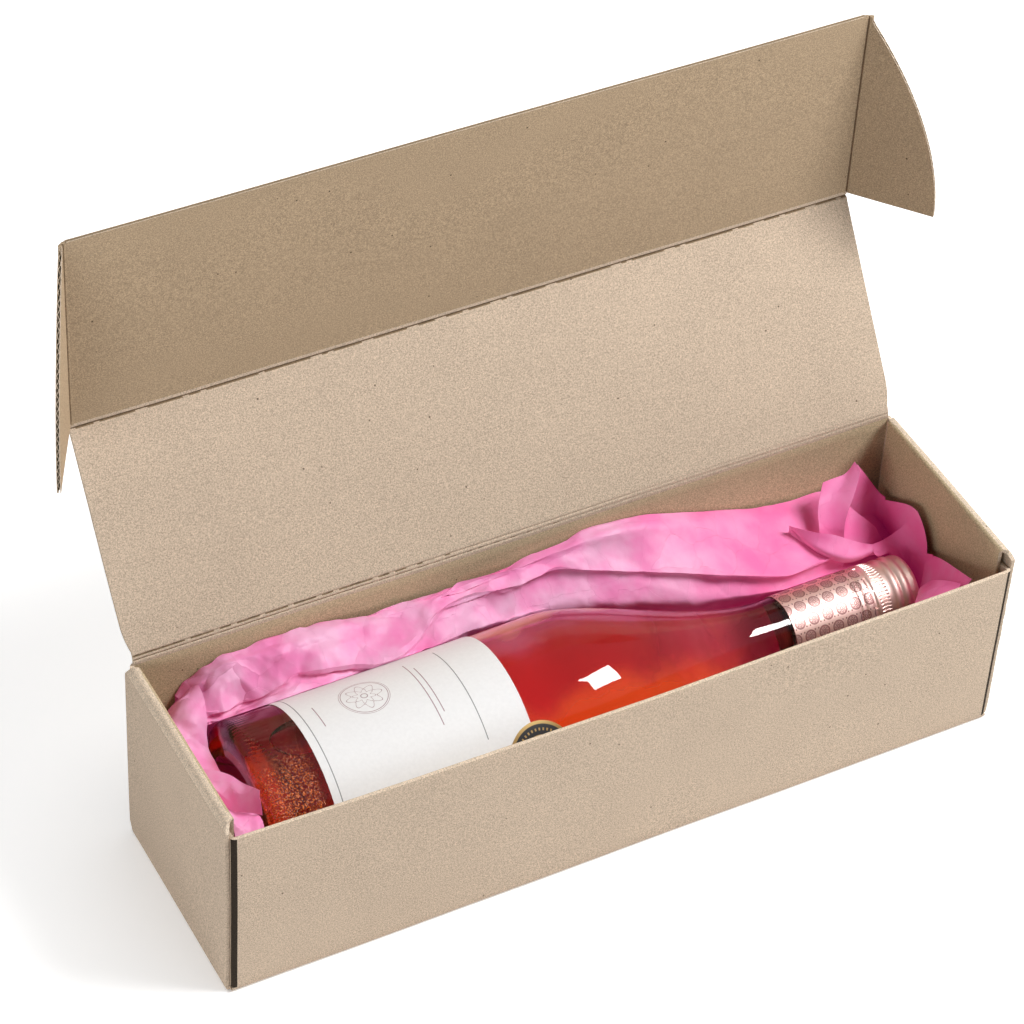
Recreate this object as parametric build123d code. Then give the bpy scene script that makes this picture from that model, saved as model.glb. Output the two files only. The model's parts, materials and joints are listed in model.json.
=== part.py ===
from build123d import *
import math
import os

# Bottle shipping box: a roll-end tray with a hinged lid, folded from one sheet of
# fine fluted cardboard, with the tissue and the bottle that it carries.
# Millimetres. X runs along the box, Y from its front to its back, Z up.
# The origin is at the centre of the tray's underside.

# Sheet
board = 1.6               # thickness of the fluted board
layer_gap = 0.3           # air between two layers folded against each other
fold_gap = 0.3            # air between a crease's bead and the panel that turns on it
cut_gap = 0.6             # play of a cut edge beside another panel
edge_round = 0.5          # softened corners of the edge beside a crease
fold_round = 1.5          # outside radius of a crease that turns a wall up

# Room that the box keeps round its bottle
base_room = 20.0          # end wall to the bottle's base
cap_room = 13.4           # the cap to the other end wall
front_room = 1.8
back_room = 10.6
head_room = 13.25         # the bottle to the level of the lid's crease

# Tray
front_drop = 7.5          # the lid's crease down to the front wall's edge
end_drop = 2.5            # the lid's crease down to the rolled ends
inner_wall_front_gap = 6.0
inner_wall_back_gap = 4.5
outer_wall_back_gap = 1.0
end_wall_corner = 7.0     # rounded lower back corner of an outer end wall
roll_round = 1.9          # outside radius of the rolled top
corner_flap_length = 41.0
corner_flap_taper = 3.0
lock_tab_width = 22.0
lock_tab_spacing = 44.0
lock_slot_play = 0.4

# Lid
lid_play = 2.6            # how much less deep the lid is than the box
lid_corner_inset = 2.6    # the lid narrows towards its hinge
lid_corner_length = 14.0
lid_open = 124.8          # degrees from closed, as it stands

# Tuck flap
flap_play = 5.1           # how much less deep the flap is than the box is high
flap_bend = 34.4          # degrees from flat
nick_place = -151.0       # small dent in the free edge
nick_width = 4.0
nick_depth = 0.9

# Ears
ear_length = 37.5         # crease to tip
ear_inset = 2.0           # lid's crease to the ear's near edge
ear_bow = 9.5             # how far the curved edge stands out from its chord
ear_tip_round = 3.0
right_ear_bend = 50.0     # degrees from flat
left_ear_bend = 62.0

# Bottle
bottle_yaw = 0.55         # degrees
body_radius = 39.2
glass_wall = 2.8
heel_radius = 6.0
punt_depth = 20.0
punt_radius = 27.0
punt_shape = (0.7, 0.6)   # a point of the punt's curve, as shares of its depth and radius
shoulder_start = 138.0    # from the base
shoulder_length = 98.0
neck_bare = 3.6           # end of the shoulder to the cap
shoulder_bulge = 0.26     # share of its length that the curve keeps along the body
neck_hollow = 0.33        # share of its length that the curve keeps along the neck
neck_radius = 14.2
finish_radius = 13.0
mouth_radius = 9.3
mouth_length = 22.0       # the narrow end of the bore
wine_gap = 0.05
wine_drop = 4.0           # the neck's start down to the wine's end
bubble_place = 27.0       # from the base
bubble_size = (16.0, 10.0, 5.0)

# Cap, with its places measured back from its top
cap_length = 60.0
cap_wall = 0.3
cap_play = 0.15
groove_places = (28.5, 26.0)
groove_round = 0.35
groove_depth = 0.18
bridge_place = 21.4
bridge_count = 12
bridge_share = 0.75       # cut share of the tear line
bridge_height = 1.0
thread_length = 14.3      # the part that is rolled in over the glass thread
knurl_length = 5.5        # beside it
knurl_count = 48
knurl_width = 0.7
knurl_depth = 0.18
rib_places = (10.4, 6.2)
rib_round = 1.4
rib_sink = 0.8            # how deep the thread is rolled in
cap_top_round = 1.5
liner_thickness = 1.8

# Labels
paper = 0.15
glue = 0.05
label_start = 24.7        # from the base
label_height = 85.0
label_wrap = 175.0        # degrees round the bottle
label_turn = 5.0          # its middle, from the top towards the front
seal_past = 0.9           # the seal's middle beyond the label's edge
seal_radius = 13.5
seal_turn = 60.5

# Tissue
tissue_gap = 0.3          # tissue to its neighbours
tissue_seat = 0.05        # tissue to the floor it lies on
tissue_layer = 0.9        # sheet under the bottle
tissue_back = 84.0        # height along the back wall
tissue_slope = 0.83       # fall from the back wall to the bottle
tissue_left = 58.0        # height at the bottle's base
tissue_right = 64.0       # height beyond the cap
tissue_left_rise = 1.1    # rise from the base to the left end wall, per millimetre
tissue_side = 0.5         # tissue to the walls
tissue_edge = 5.0         # how soon a bank rises past the bottle's end
tissue_dip = (-7.0, 45.0, 26.0)    # the ridge's dip: height, place back from the cap's tip, width
tissue_twist = (6.0, 8.0, 11.0)    # the twist that stands up there: height, place, width
tissue_left_folds = (5.0, 38.0, 0.0)     # depth, spacing along Y, shift
tissue_right_folds = (10.0, 46.0, 0.2)
tissue_crease = 2.0       # depth of the folds below
tissue_folds = ((1.0, 37.0, 61.0, 0.0), (0.6, 19.0, -27.0, 0.3))   # share, spacings in X and Y, shift
tissue_columns = 46
tissue_rows = 14

# The bottle's own places, from its base
neck_start = shoulder_start + shoulder_length
wine_end = neck_start - wine_drop
cap_start = neck_start + neck_bare
full_length = cap_start + cap_length
bottle_length = full_length - liner_thickness - cap_wall
finish_start = full_length - thread_length - knurl_length
cap_radius = neck_radius + cap_play + cap_wall
thread_radius = cap_radius - rib_sink
seal_place = label_start + label_height + seal_past

# The box round it
end_thickness = 2 * board + layer_gap
inner_face = (base_room + full_length + cap_room) / 2
half_length = inner_face + end_thickness
outer_face = half_length + layer_gap + board
box_length = 2 * half_length
box_width = 2 * body_radius + front_room + back_room + 2 * board
half_width = box_width / 2
bottle_x = base_room - inner_face
bottle_y = front_room + body_radius + board - half_width
bottle_z = board + tissue_seat + tissue_layer + tissue_gap + body_radius
bottle_place = Pos(bottle_x, bottle_y, bottle_z) * Rot(0, 0, bottle_yaw)
cap_tip = bottle_x + full_length
hinge_height = bottle_z + body_radius + head_room
front_height = hinge_height - front_drop
end_height = hinge_height - end_drop

# Creases
crease = board / 2
panel_start = crease + fold_gap
hinge_y = half_width - crease
hinge_z = hinge_height - crease
lid_depth = box_width - lid_play
flap_height = hinge_height - flap_play


def block(x0, x1, y0, y1, z0, z1):
    """A plain block between two corners."""
    return Pos((x0 + x1) / 2, (y0 + y1) / 2, (z0 + z1) / 2) * Box(x1 - x0, y1 - y0, z1 - z0)


def both_ends(shape):
    """The shape and its mirror image at the box's other end."""
    return [shape, mirror(shape, about=Plane.YZ)]


# Tray, one folded sheet

def channel():
    """Base, front wall and back wall, with the lid's crease along the back wall's top."""
    outline = Pos(0, hinge_z / 2) * Rectangle(box_width, hinge_z)
    outline = fillet(outline.vertices().group_by(Axis.Y)[0], fold_round)
    hollow = Pos(0, board + hinge_z / 2) * Rectangle(box_width - 2 * board, hinge_z)
    over_front = Pos(-half_width, front_height + hinge_z / 2) * Rectangle(4 * board, hinge_z)
    bead = Pos(hinge_y, hinge_z) * Circle(crease)
    section = outline - hollow - over_front + bead
    return extrude(Plane.YZ * section, half_length, both=True)


def end_floor():
    """The strip of base outside the front panel's fold, up to the end wall's crease."""
    strip = block(half_length - 2 * board, outer_face, -half_width + cut_gap,
                  half_width - outer_wall_back_gap - end_wall_corner, 0, board)
    foot = strip.edges().filter_by(Axis.Y).group_by(Axis.X)[-1].sort_by(Axis.Z)[0]
    return fillet(foot, fold_round)


def outer_wall():
    """The outer end wall, standing on its crease, with its lower back corner rounded."""
    y0 = -half_width + cut_gap
    y1 = half_width - outer_wall_back_gap
    panel = Pos((y0 + y1) / 2, end_height / 2) * Rectangle(y1 - y0, end_height)
    panel = fillet(panel.vertices().group_by(Axis.X)[-1].sort_by(Axis.Y)[0], end_wall_corner)
    panel = fillet(panel.vertices().group_by(Axis.Y)[-1], board)
    wall = Pos(outer_face - board, 0, 0) * extrude(Plane.YZ * panel, board)
    foot = wall.edges().filter_by(Axis.Y).group_by(Axis.Z)[0].sort_by(Axis.X)[-1]
    return fillet(foot, fold_round)


def roll():
    """The rolled top and the inner wall, an upside-down U over the corner flaps."""
    width = outer_face - inner_face
    middle = (outer_face + inner_face) / 2
    outline = Pos(middle, (end_height + board) / 2) * Rectangle(width, end_height - board)
    outline = fillet(outline.vertices().group_by(Axis.Y)[-1], roll_round)
    hollow = Pos(middle, (end_height - board) / 2) * Rectangle(width - 2 * board, end_height - board)
    hollow = fillet(hollow.vertices().group_by(Axis.Y)[-1], layer_gap)
    y0 = -half_width + inner_wall_front_gap
    y1 = half_width - inner_wall_back_gap
    return Pos(0, y1, 0) * extrude(Plane.XZ * (outline - hollow), y1 - y0)


def corner_flap(root_y, way, top):
    """A flap folded in between an end's two walls, from the front or the back wall."""
    low = board + layer_gap
    end_y = root_y + way * corner_flap_length
    outline = Polyline((root_y, low), (end_y, low + corner_flap_taper),
                       (end_y, top - corner_flap_taper), (root_y, top), close=True)
    return Pos(half_length - board, 0, 0) * extrude(Plane.YZ * make_face(outline), board)


def across_tabs(play, z0, z1):
    """The places of one inner wall's lock tabs, grown by the play."""
    half = lock_tab_width / 2 + play
    return [block(inner_face - play, inner_face + board + play, y - half, y + half, z0, z1)
            for y in (-lock_tab_spacing / 2, lock_tab_spacing / 2)]


def tray():
    under_roll = end_height - board - layer_gap
    body = channel()
    added = [end_floor(), outer_wall(), roll(),
             corner_flap(-hinge_y, 1, front_height - cut_gap),
             corner_flap(hinge_y, -1, under_roll)]
    for shape in added:
        for part in both_ends(shape):
            body += part
    for slot in across_tabs(lock_slot_play, -board, board):
        for part in both_ends(slot):
            body -= part
    for tab in across_tabs(0, layer_gap, 2 * board):
        for part in both_ends(tab):
            body += part
    return body


# Lid, tuck flap and ears: flat panels on planes that lie in the open pose

def turned(plane, origin, degrees):
    """The plane of the next panel: its origin on this plane's Y axis, bent inwards."""
    bend = math.radians(degrees)
    along = plane.y_dir * math.cos(bend) + plane.z_dir * math.sin(bend)
    return Plane(origin=plane.from_local_coords(origin), x_dir=plane.x_dir,
                 z_dir=plane.x_dir.cross(along))


closed_plane = Plane(origin=(0, hinge_y, hinge_z), x_dir=(1, 0, 0), z_dir=(0, 0, -1))
lid_plane = turned(closed_plane, (0, 0, 0), -lid_open)
flap_plane = turned(lid_plane, (0, lid_depth, 0), flap_bend)


def ear_plane(side, degrees):
    """Local X runs out along the ear, local Y along its crease to the flap's free edge."""
    bend = math.radians(degrees)
    out = flap_plane.x_dir * side * math.cos(bend) + flap_plane.z_dir * math.sin(bend)
    return Plane(origin=flap_plane.from_local_coords((side * half_length, 0, 0)), x_dir=out,
                 z_dir=out.cross(flap_plane.y_dir))


def sheet(outline):
    """A panel of board, with its middle on the XY plane."""
    return extrude(outline, crease, both=True)


def soften(panel, axis):
    """Round both corners of the panel's edge beside its crease."""
    near = panel.edges().filter_by(axis)
    other = Axis.Y if axis == Axis.X else Axis.X
    return fillet(near.group_by(other)[0], edge_round)


def bead(length):
    """A crease: a round bead along X, centred."""
    return Rot(0, 90, 0) * Cylinder(crease, length)


def lid_panel():
    narrow = half_length - lid_corner_inset
    right = Spline((narrow, panel_start), (half_length, lid_corner_length),
                   tangents=((0.5, 1), (0, 1)))
    right_side = Line(right @ 1, (half_length, lid_depth))
    far = Line((half_length, lid_depth), (-half_length, lid_depth))
    left_side = Line((-half_length, lid_depth), (-half_length, lid_corner_length))
    left = mirror(right, about=Plane.YZ)
    near = Line((-narrow, panel_start), (narrow, panel_start))
    outline = make_face([right, right_side, far, left_side, left, near])
    panel = soften(sheet(outline), Axis.X) + Pos(0, lid_depth, 0) * bead(box_length)
    return lid_plane * panel


def tuck_flap():
    middle = (panel_start + flap_height) / 2
    outline = Pos(0, middle) * Rectangle(box_length, flap_height - panel_start)
    nick = make_face(Polyline((nick_place - nick_width / 2, flap_height),
                              (nick_place, flap_height - nick_depth),
                              (nick_place + nick_width / 2, flap_height), close=True))
    panel = soften(sheet(outline), Axis.X) - sheet(nick)
    for side in (-1, 1):
        panel += (Pos(side * half_length, middle, 0)
                  * Rot(90, 0, 0) * Cylinder(crease, flap_height - panel_start))
    return flap_plane * panel


def ear(side, degrees):
    root = (panel_start, ear_inset)
    tip = (ear_length, ear_inset)
    top = (panel_start, flap_height - panel_start)
    curve = SagittaArc(tip, top, -ear_bow)
    outline = make_face([Line(root, tip), curve, Line(top, root)])
    corner = outline.vertices().sort_by(Axis.X)[-1]
    outline = fillet(corner, ear_tip_round)
    return ear_plane(side, degrees) * soften(sheet(outline), Axis.Y)


# Bottle and cap, turned about X, with the base at X = 0

def spin(lines):
    """A solid of revolution from a closed outline above the X axis."""
    return revolve(make_face(lines), axis=Axis.X)


def shoulder(inset):
    """The curve from the body to the neck, moved in by the inset."""
    body = body_radius - inset
    neck = neck_radius - inset
    return Bezier((shoulder_start, body),
                  (shoulder_start + shoulder_bulge * shoulder_length, body),
                  (neck_start - neck_hollow * shoulder_length, neck),
                  (neck_start, neck))


def punt(base, radius):
    """The hollow in the base, from its top on the axis down to its rim."""
    share_deep, share_out = punt_shape
    return ThreePointArc((base + punt_depth, 0),
                         (base + share_deep * punt_depth, share_out * radius), (base, radius))


def hollow_outline(inset, end):
    """The inside of the bottle, moved in by the inset, up to a flat end."""
    floor = glass_wall + inset
    body = body_radius - glass_wall - inset
    bore = neck_radius - glass_wall - inset
    punt_top = punt_depth + floor
    foot = punt_radius + floor
    curve = shoulder(glass_wall + inset)
    corner = body - foot
    return [punt(floor, foot),
            Bezier((floor, foot), (floor, body), (floor + 2 * corner, body)),
            Line((floor + 2 * corner, body), curve @ 0),
            curve,
            Line(curve @ 1, (end, bore)),
            Line((end, bore), (end, 0)),
            Line((end, 0), (punt_top, 0))]


def glass_bottle():
    rim = body_radius - heel_radius
    curve = shoulder(0)
    outside = spin([
        punt(0, punt_radius),
        Line((0, punt_radius), (0, rim)),
        RadiusArc((0, rim), (heel_radius, body_radius), heel_radius),
        Line((heel_radius, body_radius), curve @ 0),
        curve,
        Line(curve @ 1, (finish_start, neck_radius)),
        Line((finish_start, neck_radius), (finish_start, finish_radius)),
        Line((finish_start, finish_radius), (bottle_length, finish_radius)),
        Line((bottle_length, finish_radius), (bottle_length, 0)),
        Line((bottle_length, 0), (punt_depth, 0))])
    inside = spin(hollow_outline(0, bottle_length - mouth_length))
    mouth = Rot(0, 90, 0) * Cylinder(mouth_radius, 2 * mouth_length)
    return bottle_place * (outside - inside - Pos(bottle_length, 0, 0) * mouth)


def wine():
    fill = spin(hollow_outline(wine_gap, wine_end))
    top = body_radius - glass_wall
    bubble = Pos(bubble_place, 0, top) * scale(Sphere(1), by=bubble_size)
    return bottle_place * (fill - bubble)


def cap_outline(inset):
    """The outside of the cap, moved in by the inset, from its open end to its top."""
    sleeve = cap_radius - inset
    thread = thread_radius - inset
    step = cap_length - thread_length
    top = cap_length - inset
    corner = cap_length - cap_top_round
    return [
        Line((0, 0), (0, sleeve)),
        Line((0, sleeve), (step - inset, sleeve)),
        Line((step - inset, sleeve), (step - inset + rib_sink, thread)),
        Line((step - inset + rib_sink, thread), (corner, thread)),
        RadiusArc((corner, thread), (top, thread_radius - cap_top_round), cap_top_round - inset),
        Line((top, thread_radius - cap_top_round), (top, 0)),
        Line((top, 0), (0, 0))]


def knurl():
    """The shallow notches round the cap, beside its thread."""
    low = cap_radius - knurl_depth
    high = cap_radius + knurl_depth
    notch = make_face(Polyline((low, 0), (high, knurl_width), (high, -knurl_width), close=True))
    notches = Sketch() + [Rot(0, 0, 360 * i / knurl_count) * notch for i in range(knurl_count)]
    start = cap_length - thread_length - knurl_length
    return Pos(start, 0, 0) * Rot(0, 90, 0) * extrude(notches, knurl_length - cap_wall)


def screw_cap():
    """The long cap, one drawn shell: sleeve, tear line, knurl and rolled thread."""
    shell = spin(cap_outline(0))
    for place in rib_places:
        shell += Pos(cap_length - place, 0, 0) * Rot(0, 90, 0) * Torus(cap_radius - rib_round, rib_round)
    for place in groove_places:
        ring = Torus(cap_radius + groove_round - groove_depth, groove_round)
        shell -= Pos(cap_length - place, 0, 0) * Rot(0, 90, 0) * ring
    shell = shell - knurl() - spin(cap_outline(cap_wall))
    cut_length = bridge_share * 2 * math.pi * cap_radius / bridge_count
    cut = Pos(cap_length - bridge_place, 0, cap_radius) * Box(bridge_height, cut_length, 4 * cap_wall)
    shell -= [Rot(360 * i / bridge_count, 0, 0) * cut for i in range(bridge_count)]
    return bottle_place * Pos(cap_start, 0, 0) * shell


def cap_liner():
    middle = bottle_length + liner_thickness / 2
    radius = thread_radius - cap_top_round - glue
    disc = Cylinder(radius, liner_thickness - 2 * glue)
    return bottle_place * Pos(middle, 0, 0) * Rot(0, 90, 0) * disc


def wrap(start, length, inner, degrees, turn):
    """Paper wrapped round the body, with its middle turned from the top to the front."""
    strip = Pos(start + length / 2, inner + paper / 2) * Rectangle(length, paper)
    band = revolve(Plane.XY * strip, axis=Axis.X, revolution_arc=degrees)
    return Rot(90 + turn - degrees / 2, 0, 0) * band


def label():
    return bottle_place * wrap(label_start, label_height, body_radius + glue, label_wrap, label_turn)


def seal():
    """The round sticker, laid over the label's edge."""
    inner = body_radius + paper + 2 * glue
    width = 2 * seal_radius + paper
    arc = 2 * math.degrees(math.asin(width / 2 / inner))
    band = wrap(seal_place - width / 2, width, inner, arc, seal_turn)
    punch = Pos(seal_place, 0, 0) * Rot(seal_turn, 0, 0) * Pos(0, 0, inner) * Cylinder(seal_radius, inner)
    return bottle_place * (band & punch)


# Tissue: a crumpled bank behind the bottle, round its base and beyond its cap

def smooth(low, high, value):
    """0 below low, 1 above high, and a soft step between."""
    t = min(max((value - low) / (high - low), 0), 1)
    return t * t * (3 - 2 * t)


def zigzag(value):
    """A folded line between -1 and 1."""
    return 4 * abs(value - math.floor(value + 0.5)) - 1


def hump(x, shape):
    """A soft hump along the ridge, placed back from the cap's tip."""
    height, place, width = shape
    return height * math.exp(-((x - cap_tip + place) / width) ** 2)


def end_folds(y, shape):
    """The larger folds of the bank at one end of the box."""
    depth, spacing, shift = shape
    return depth * zigzag(y / spacing + shift)


def tissue_height(x, y):
    """The height of the tissue over a point of the floor."""
    back = half_width - board
    axis_y = bottle_y + (x - bottle_x) * math.tan(math.radians(bottle_yaw))
    ridge = tissue_back + hump(x, tissue_dip) + hump(x, tissue_twist)
    bank = ridge - tissue_slope * (back - y)
    seat = board + tissue_seat + tissue_layer
    behind = smooth(axis_y, axis_y + neck_radius, y)
    beyond = smooth(cap_tip - tissue_edge, cap_tip, x)
    before = smooth(bottle_x, bottle_x - tissue_edge, x)
    right = tissue_right + end_folds(y, tissue_right_folds)
    left = tissue_left + tissue_left_rise * (bottle_x - x) + end_folds(y, tissue_left_folds)
    height = seat + (bank - seat) * behind
    height += (right - height) * beyond
    height += (left - height) * before
    folds = sum(share * zigzag(x / along + y / across + shift)
                for share, along, across, shift in tissue_folds)
    return max(height + tissue_crease * folds * max(behind, beyond, before), seat)


def tissue_paper():
    x0 = tissue_side - inner_face
    x1 = inner_face - tissue_side
    y0 = -half_width + board + tissue_side
    y1 = half_width - board - tissue_side
    low = board + tissue_seat
    xs = [x0 + (x1 - x0) * i / tissue_columns for i in range(tissue_columns + 1)]
    ys = [y0 + (y1 - y0) * j / tissue_rows for j in range(tissue_rows + 1)]
    top = [[Vector(x, y, tissue_height(x, y)) for y in ys] for x in xs]
    floor = [[Vector(x, y, low) for y in ys] for x in xs]
    triangles = []

    def tile(a, b, c, d):
        triangles.extend([(a, b, c), (a, c, d)])

    for i in range(tissue_columns):
        for j in range(tissue_rows):
            tile(top[i][j], top[i + 1][j], top[i + 1][j + 1], top[i][j + 1])
        tile(floor[i][0], floor[i + 1][0], top[i + 1][0], top[i][0])
        tile(floor[i + 1][-1], floor[i][-1], top[i][-1], top[i + 1][-1])
    for j in range(tissue_rows):
        tile(floor[0][j + 1], floor[0][j], top[0][j], top[0][j + 1])
        tile(floor[-1][j], floor[-1][j + 1], top[-1][j + 1], top[-1][j])
    faces = [Face(Wire.make_polygon(corners)) for corners in triangles]
    rim = [row[0] for row in floor] + floor[-1][1:] + [row[-1] for row in floor[-2::-1]]
    rim += floor[0][-2:0:-1]
    faces.append(Face(Wire.make_polygon(rim)))
    bank = Solid(Shell(faces))
    rim_radius = body_radius - heel_radius
    step = cap_start - tissue_gap
    cap_end = full_length + tissue_gap
    cap_side = cap_radius + tissue_gap
    room = shoulder(-tissue_gap)
    nest = spin([
        Line((-tissue_gap, 0), (-tissue_gap, rim_radius)),
        RadiusArc((-tissue_gap, rim_radius), (heel_radius, body_radius + tissue_gap),
                  heel_radius + tissue_gap),
        Line((heel_radius, body_radius + tissue_gap), room @ 0),
        room,
        Line(room @ 1, (step, neck_radius + tissue_gap)),
        Line((step, neck_radius + tissue_gap), (step, cap_side)),
        Line((step, cap_side), (cap_end, cap_side)),
        Line((cap_end, cap_side), (cap_end, 0)),
        Line((cap_end, 0), (-tissue_gap, 0))])
    band = Pos(label_start + label_height / 2, 0, 0) * Rot(0, 90, 0)
    nest += band * Cylinder(body_radius + 2 * tissue_gap, label_height + 2 * seal_radius)
    return bank - bottle_place * nest


nodes = {
    "tray": tray(),
    "lid_panel": lid_panel(),
    "tuck_flap": tuck_flap(),
    "right_ear": ear(1, right_ear_bend),
    "left_ear": ear(-1, left_ear_bend),
    "glass_bottle": glass_bottle(),
    "wine": wine(),
    "screw_cap": screw_cap(),
    "cap_liner": cap_liner(),
    "label": label(),
    "seal": seal(),
    "tissue_paper": tissue_paper(),
}

os.makedirs("parts", exist_ok=True)
for name, shape in nodes.items():
    export_step(shape, f"parts/{name}.step")
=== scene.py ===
# %% [markdown]
# # A bottle in its shipping box
#
# The box is one folded sheet of fine fluted board. It stands open, and a bottle lies in it in
# crumpled tissue. The packed model gives every size: this script reads it as a fixed frame, and
# builds what the eye sees around it.

# %% Load the frame
import json
import math

import bmesh
import bpy
import numpy as np
from mathutils import Matrix, Vector, noise


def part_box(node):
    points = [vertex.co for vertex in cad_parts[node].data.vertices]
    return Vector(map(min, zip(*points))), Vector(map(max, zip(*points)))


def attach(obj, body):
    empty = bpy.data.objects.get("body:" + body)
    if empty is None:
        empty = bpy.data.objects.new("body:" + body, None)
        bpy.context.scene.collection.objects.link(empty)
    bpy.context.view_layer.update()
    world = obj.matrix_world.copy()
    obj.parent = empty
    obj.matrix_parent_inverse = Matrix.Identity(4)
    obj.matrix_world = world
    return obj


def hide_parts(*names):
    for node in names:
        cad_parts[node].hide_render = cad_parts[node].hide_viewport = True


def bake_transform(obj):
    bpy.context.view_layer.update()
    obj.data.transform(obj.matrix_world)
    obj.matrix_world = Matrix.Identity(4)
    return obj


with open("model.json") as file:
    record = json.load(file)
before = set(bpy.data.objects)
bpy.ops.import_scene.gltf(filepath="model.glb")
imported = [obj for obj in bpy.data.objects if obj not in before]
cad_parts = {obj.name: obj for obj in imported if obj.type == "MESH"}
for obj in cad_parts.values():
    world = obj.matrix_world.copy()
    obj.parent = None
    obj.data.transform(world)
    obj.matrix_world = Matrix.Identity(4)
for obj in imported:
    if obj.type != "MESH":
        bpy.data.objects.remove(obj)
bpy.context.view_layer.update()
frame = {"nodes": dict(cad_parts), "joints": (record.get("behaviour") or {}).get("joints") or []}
mm = 0.001
joints = {j["name"]: j for j in frame["joints"]}

# %% [markdown]
# ## Camera
#
# The camera is solved from the box's corners in the photograph: a long lens, high on the left of
# the front. It comes first, because every later choice is judged through it.

# %% Set up the camera
eye = Vector((-0.556, -0.894, 1.130))
ahead = Vector((0.3674, 0.6292, -0.6849)).normalized()
right = Vector((0.8844, -0.4642, 0.0479))
right = (right - ahead * right.dot(ahead)).normalized()
up = right.cross(ahead)
focal_share = 3817 / 1024       # focal length as a share of the picture's width
sensor = 36

bpy.ops.object.select_all(action="DESELECT")
bpy.ops.object.camera_add(location=eye)
camera = bpy.context.object
camera.matrix_world = Matrix((
    (right.x, up.x, -ahead.x, eye.x),
    (right.y, up.y, -ahead.y, eye.y),
    (right.z, up.z, -ahead.z, eye.z),
    (0, 0, 0, 1)))
camera.data.sensor_width = sensor
camera.data.lens = sensor * focal_share
camera.data.clip_start = 0.05
bpy.context.scene.camera = camera
print("lens:", round(camera.data.lens, 1), "mm")

# %% [markdown]
# ## Shader maths
#
# A pattern is easier to read as a formula than as a list of links. `Value` wraps the output of a
# node and overloads the operators, and `Paint` adds any other node to one material.

# %% Wrap a node's output
class Value:
    """One output of a node, which can be added, multiplied and compared."""

    def __init__(self, paint, output):
        self.paint = paint
        self.output = output

    def maths(self, operation, *others):
        return self.paint.maths(operation, self, *others)

    def __add__(self, other):
        return self.maths("ADD", other)

    def __sub__(self, other):
        return self.maths("SUBTRACT", other)

    def __rsub__(self, other):
        return self.paint.maths("SUBTRACT", other, self)

    def __mul__(self, other):
        return self.maths("MULTIPLY", other)

    def __truediv__(self, other):
        return self.maths("DIVIDE", other)

    __radd__ = __add__
    __rmul__ = __mul__

    def below(self, level):
        return self.maths("LESS_THAN", level)

    def size(self):
        return self.maths("ABSOLUTE")

    def root(self):
        return self.maths("SQRT")

    def wave(self):
        return self.maths("SINE")

    def cosine(self):
        return self.maths("COSINE")

    def cell(self):
        """The place within a repeating cell, from -0.5 to 0.5."""
        return self.maths("FRACT") - 0.5

    def capped(self):
        return self.maths("MINIMUM", 1.0)

    def step(self, low, high):
        """0 below low, 1 above high, and soft between."""
        return self.paint.node("ShaderNodeMapRange", {"interpolation_type": "SMOOTHSTEP"},
                               {"Value": self, "From Min": low, "From Max": high})

    def line(self, place, inner, outer):
        """1 within inner of a place, and 0 beyond outer."""
        return 1 - (self - place).size().step(inner, outer)

    def between(self, at_zero, at_one):
        return self.paint.node("ShaderNodeMapRange", {},
                               {"Value": self, "To Min": at_zero, "To Max": at_one})


print("a value's sums:", [name for name in vars(Value) if name.startswith("__r")])


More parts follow.
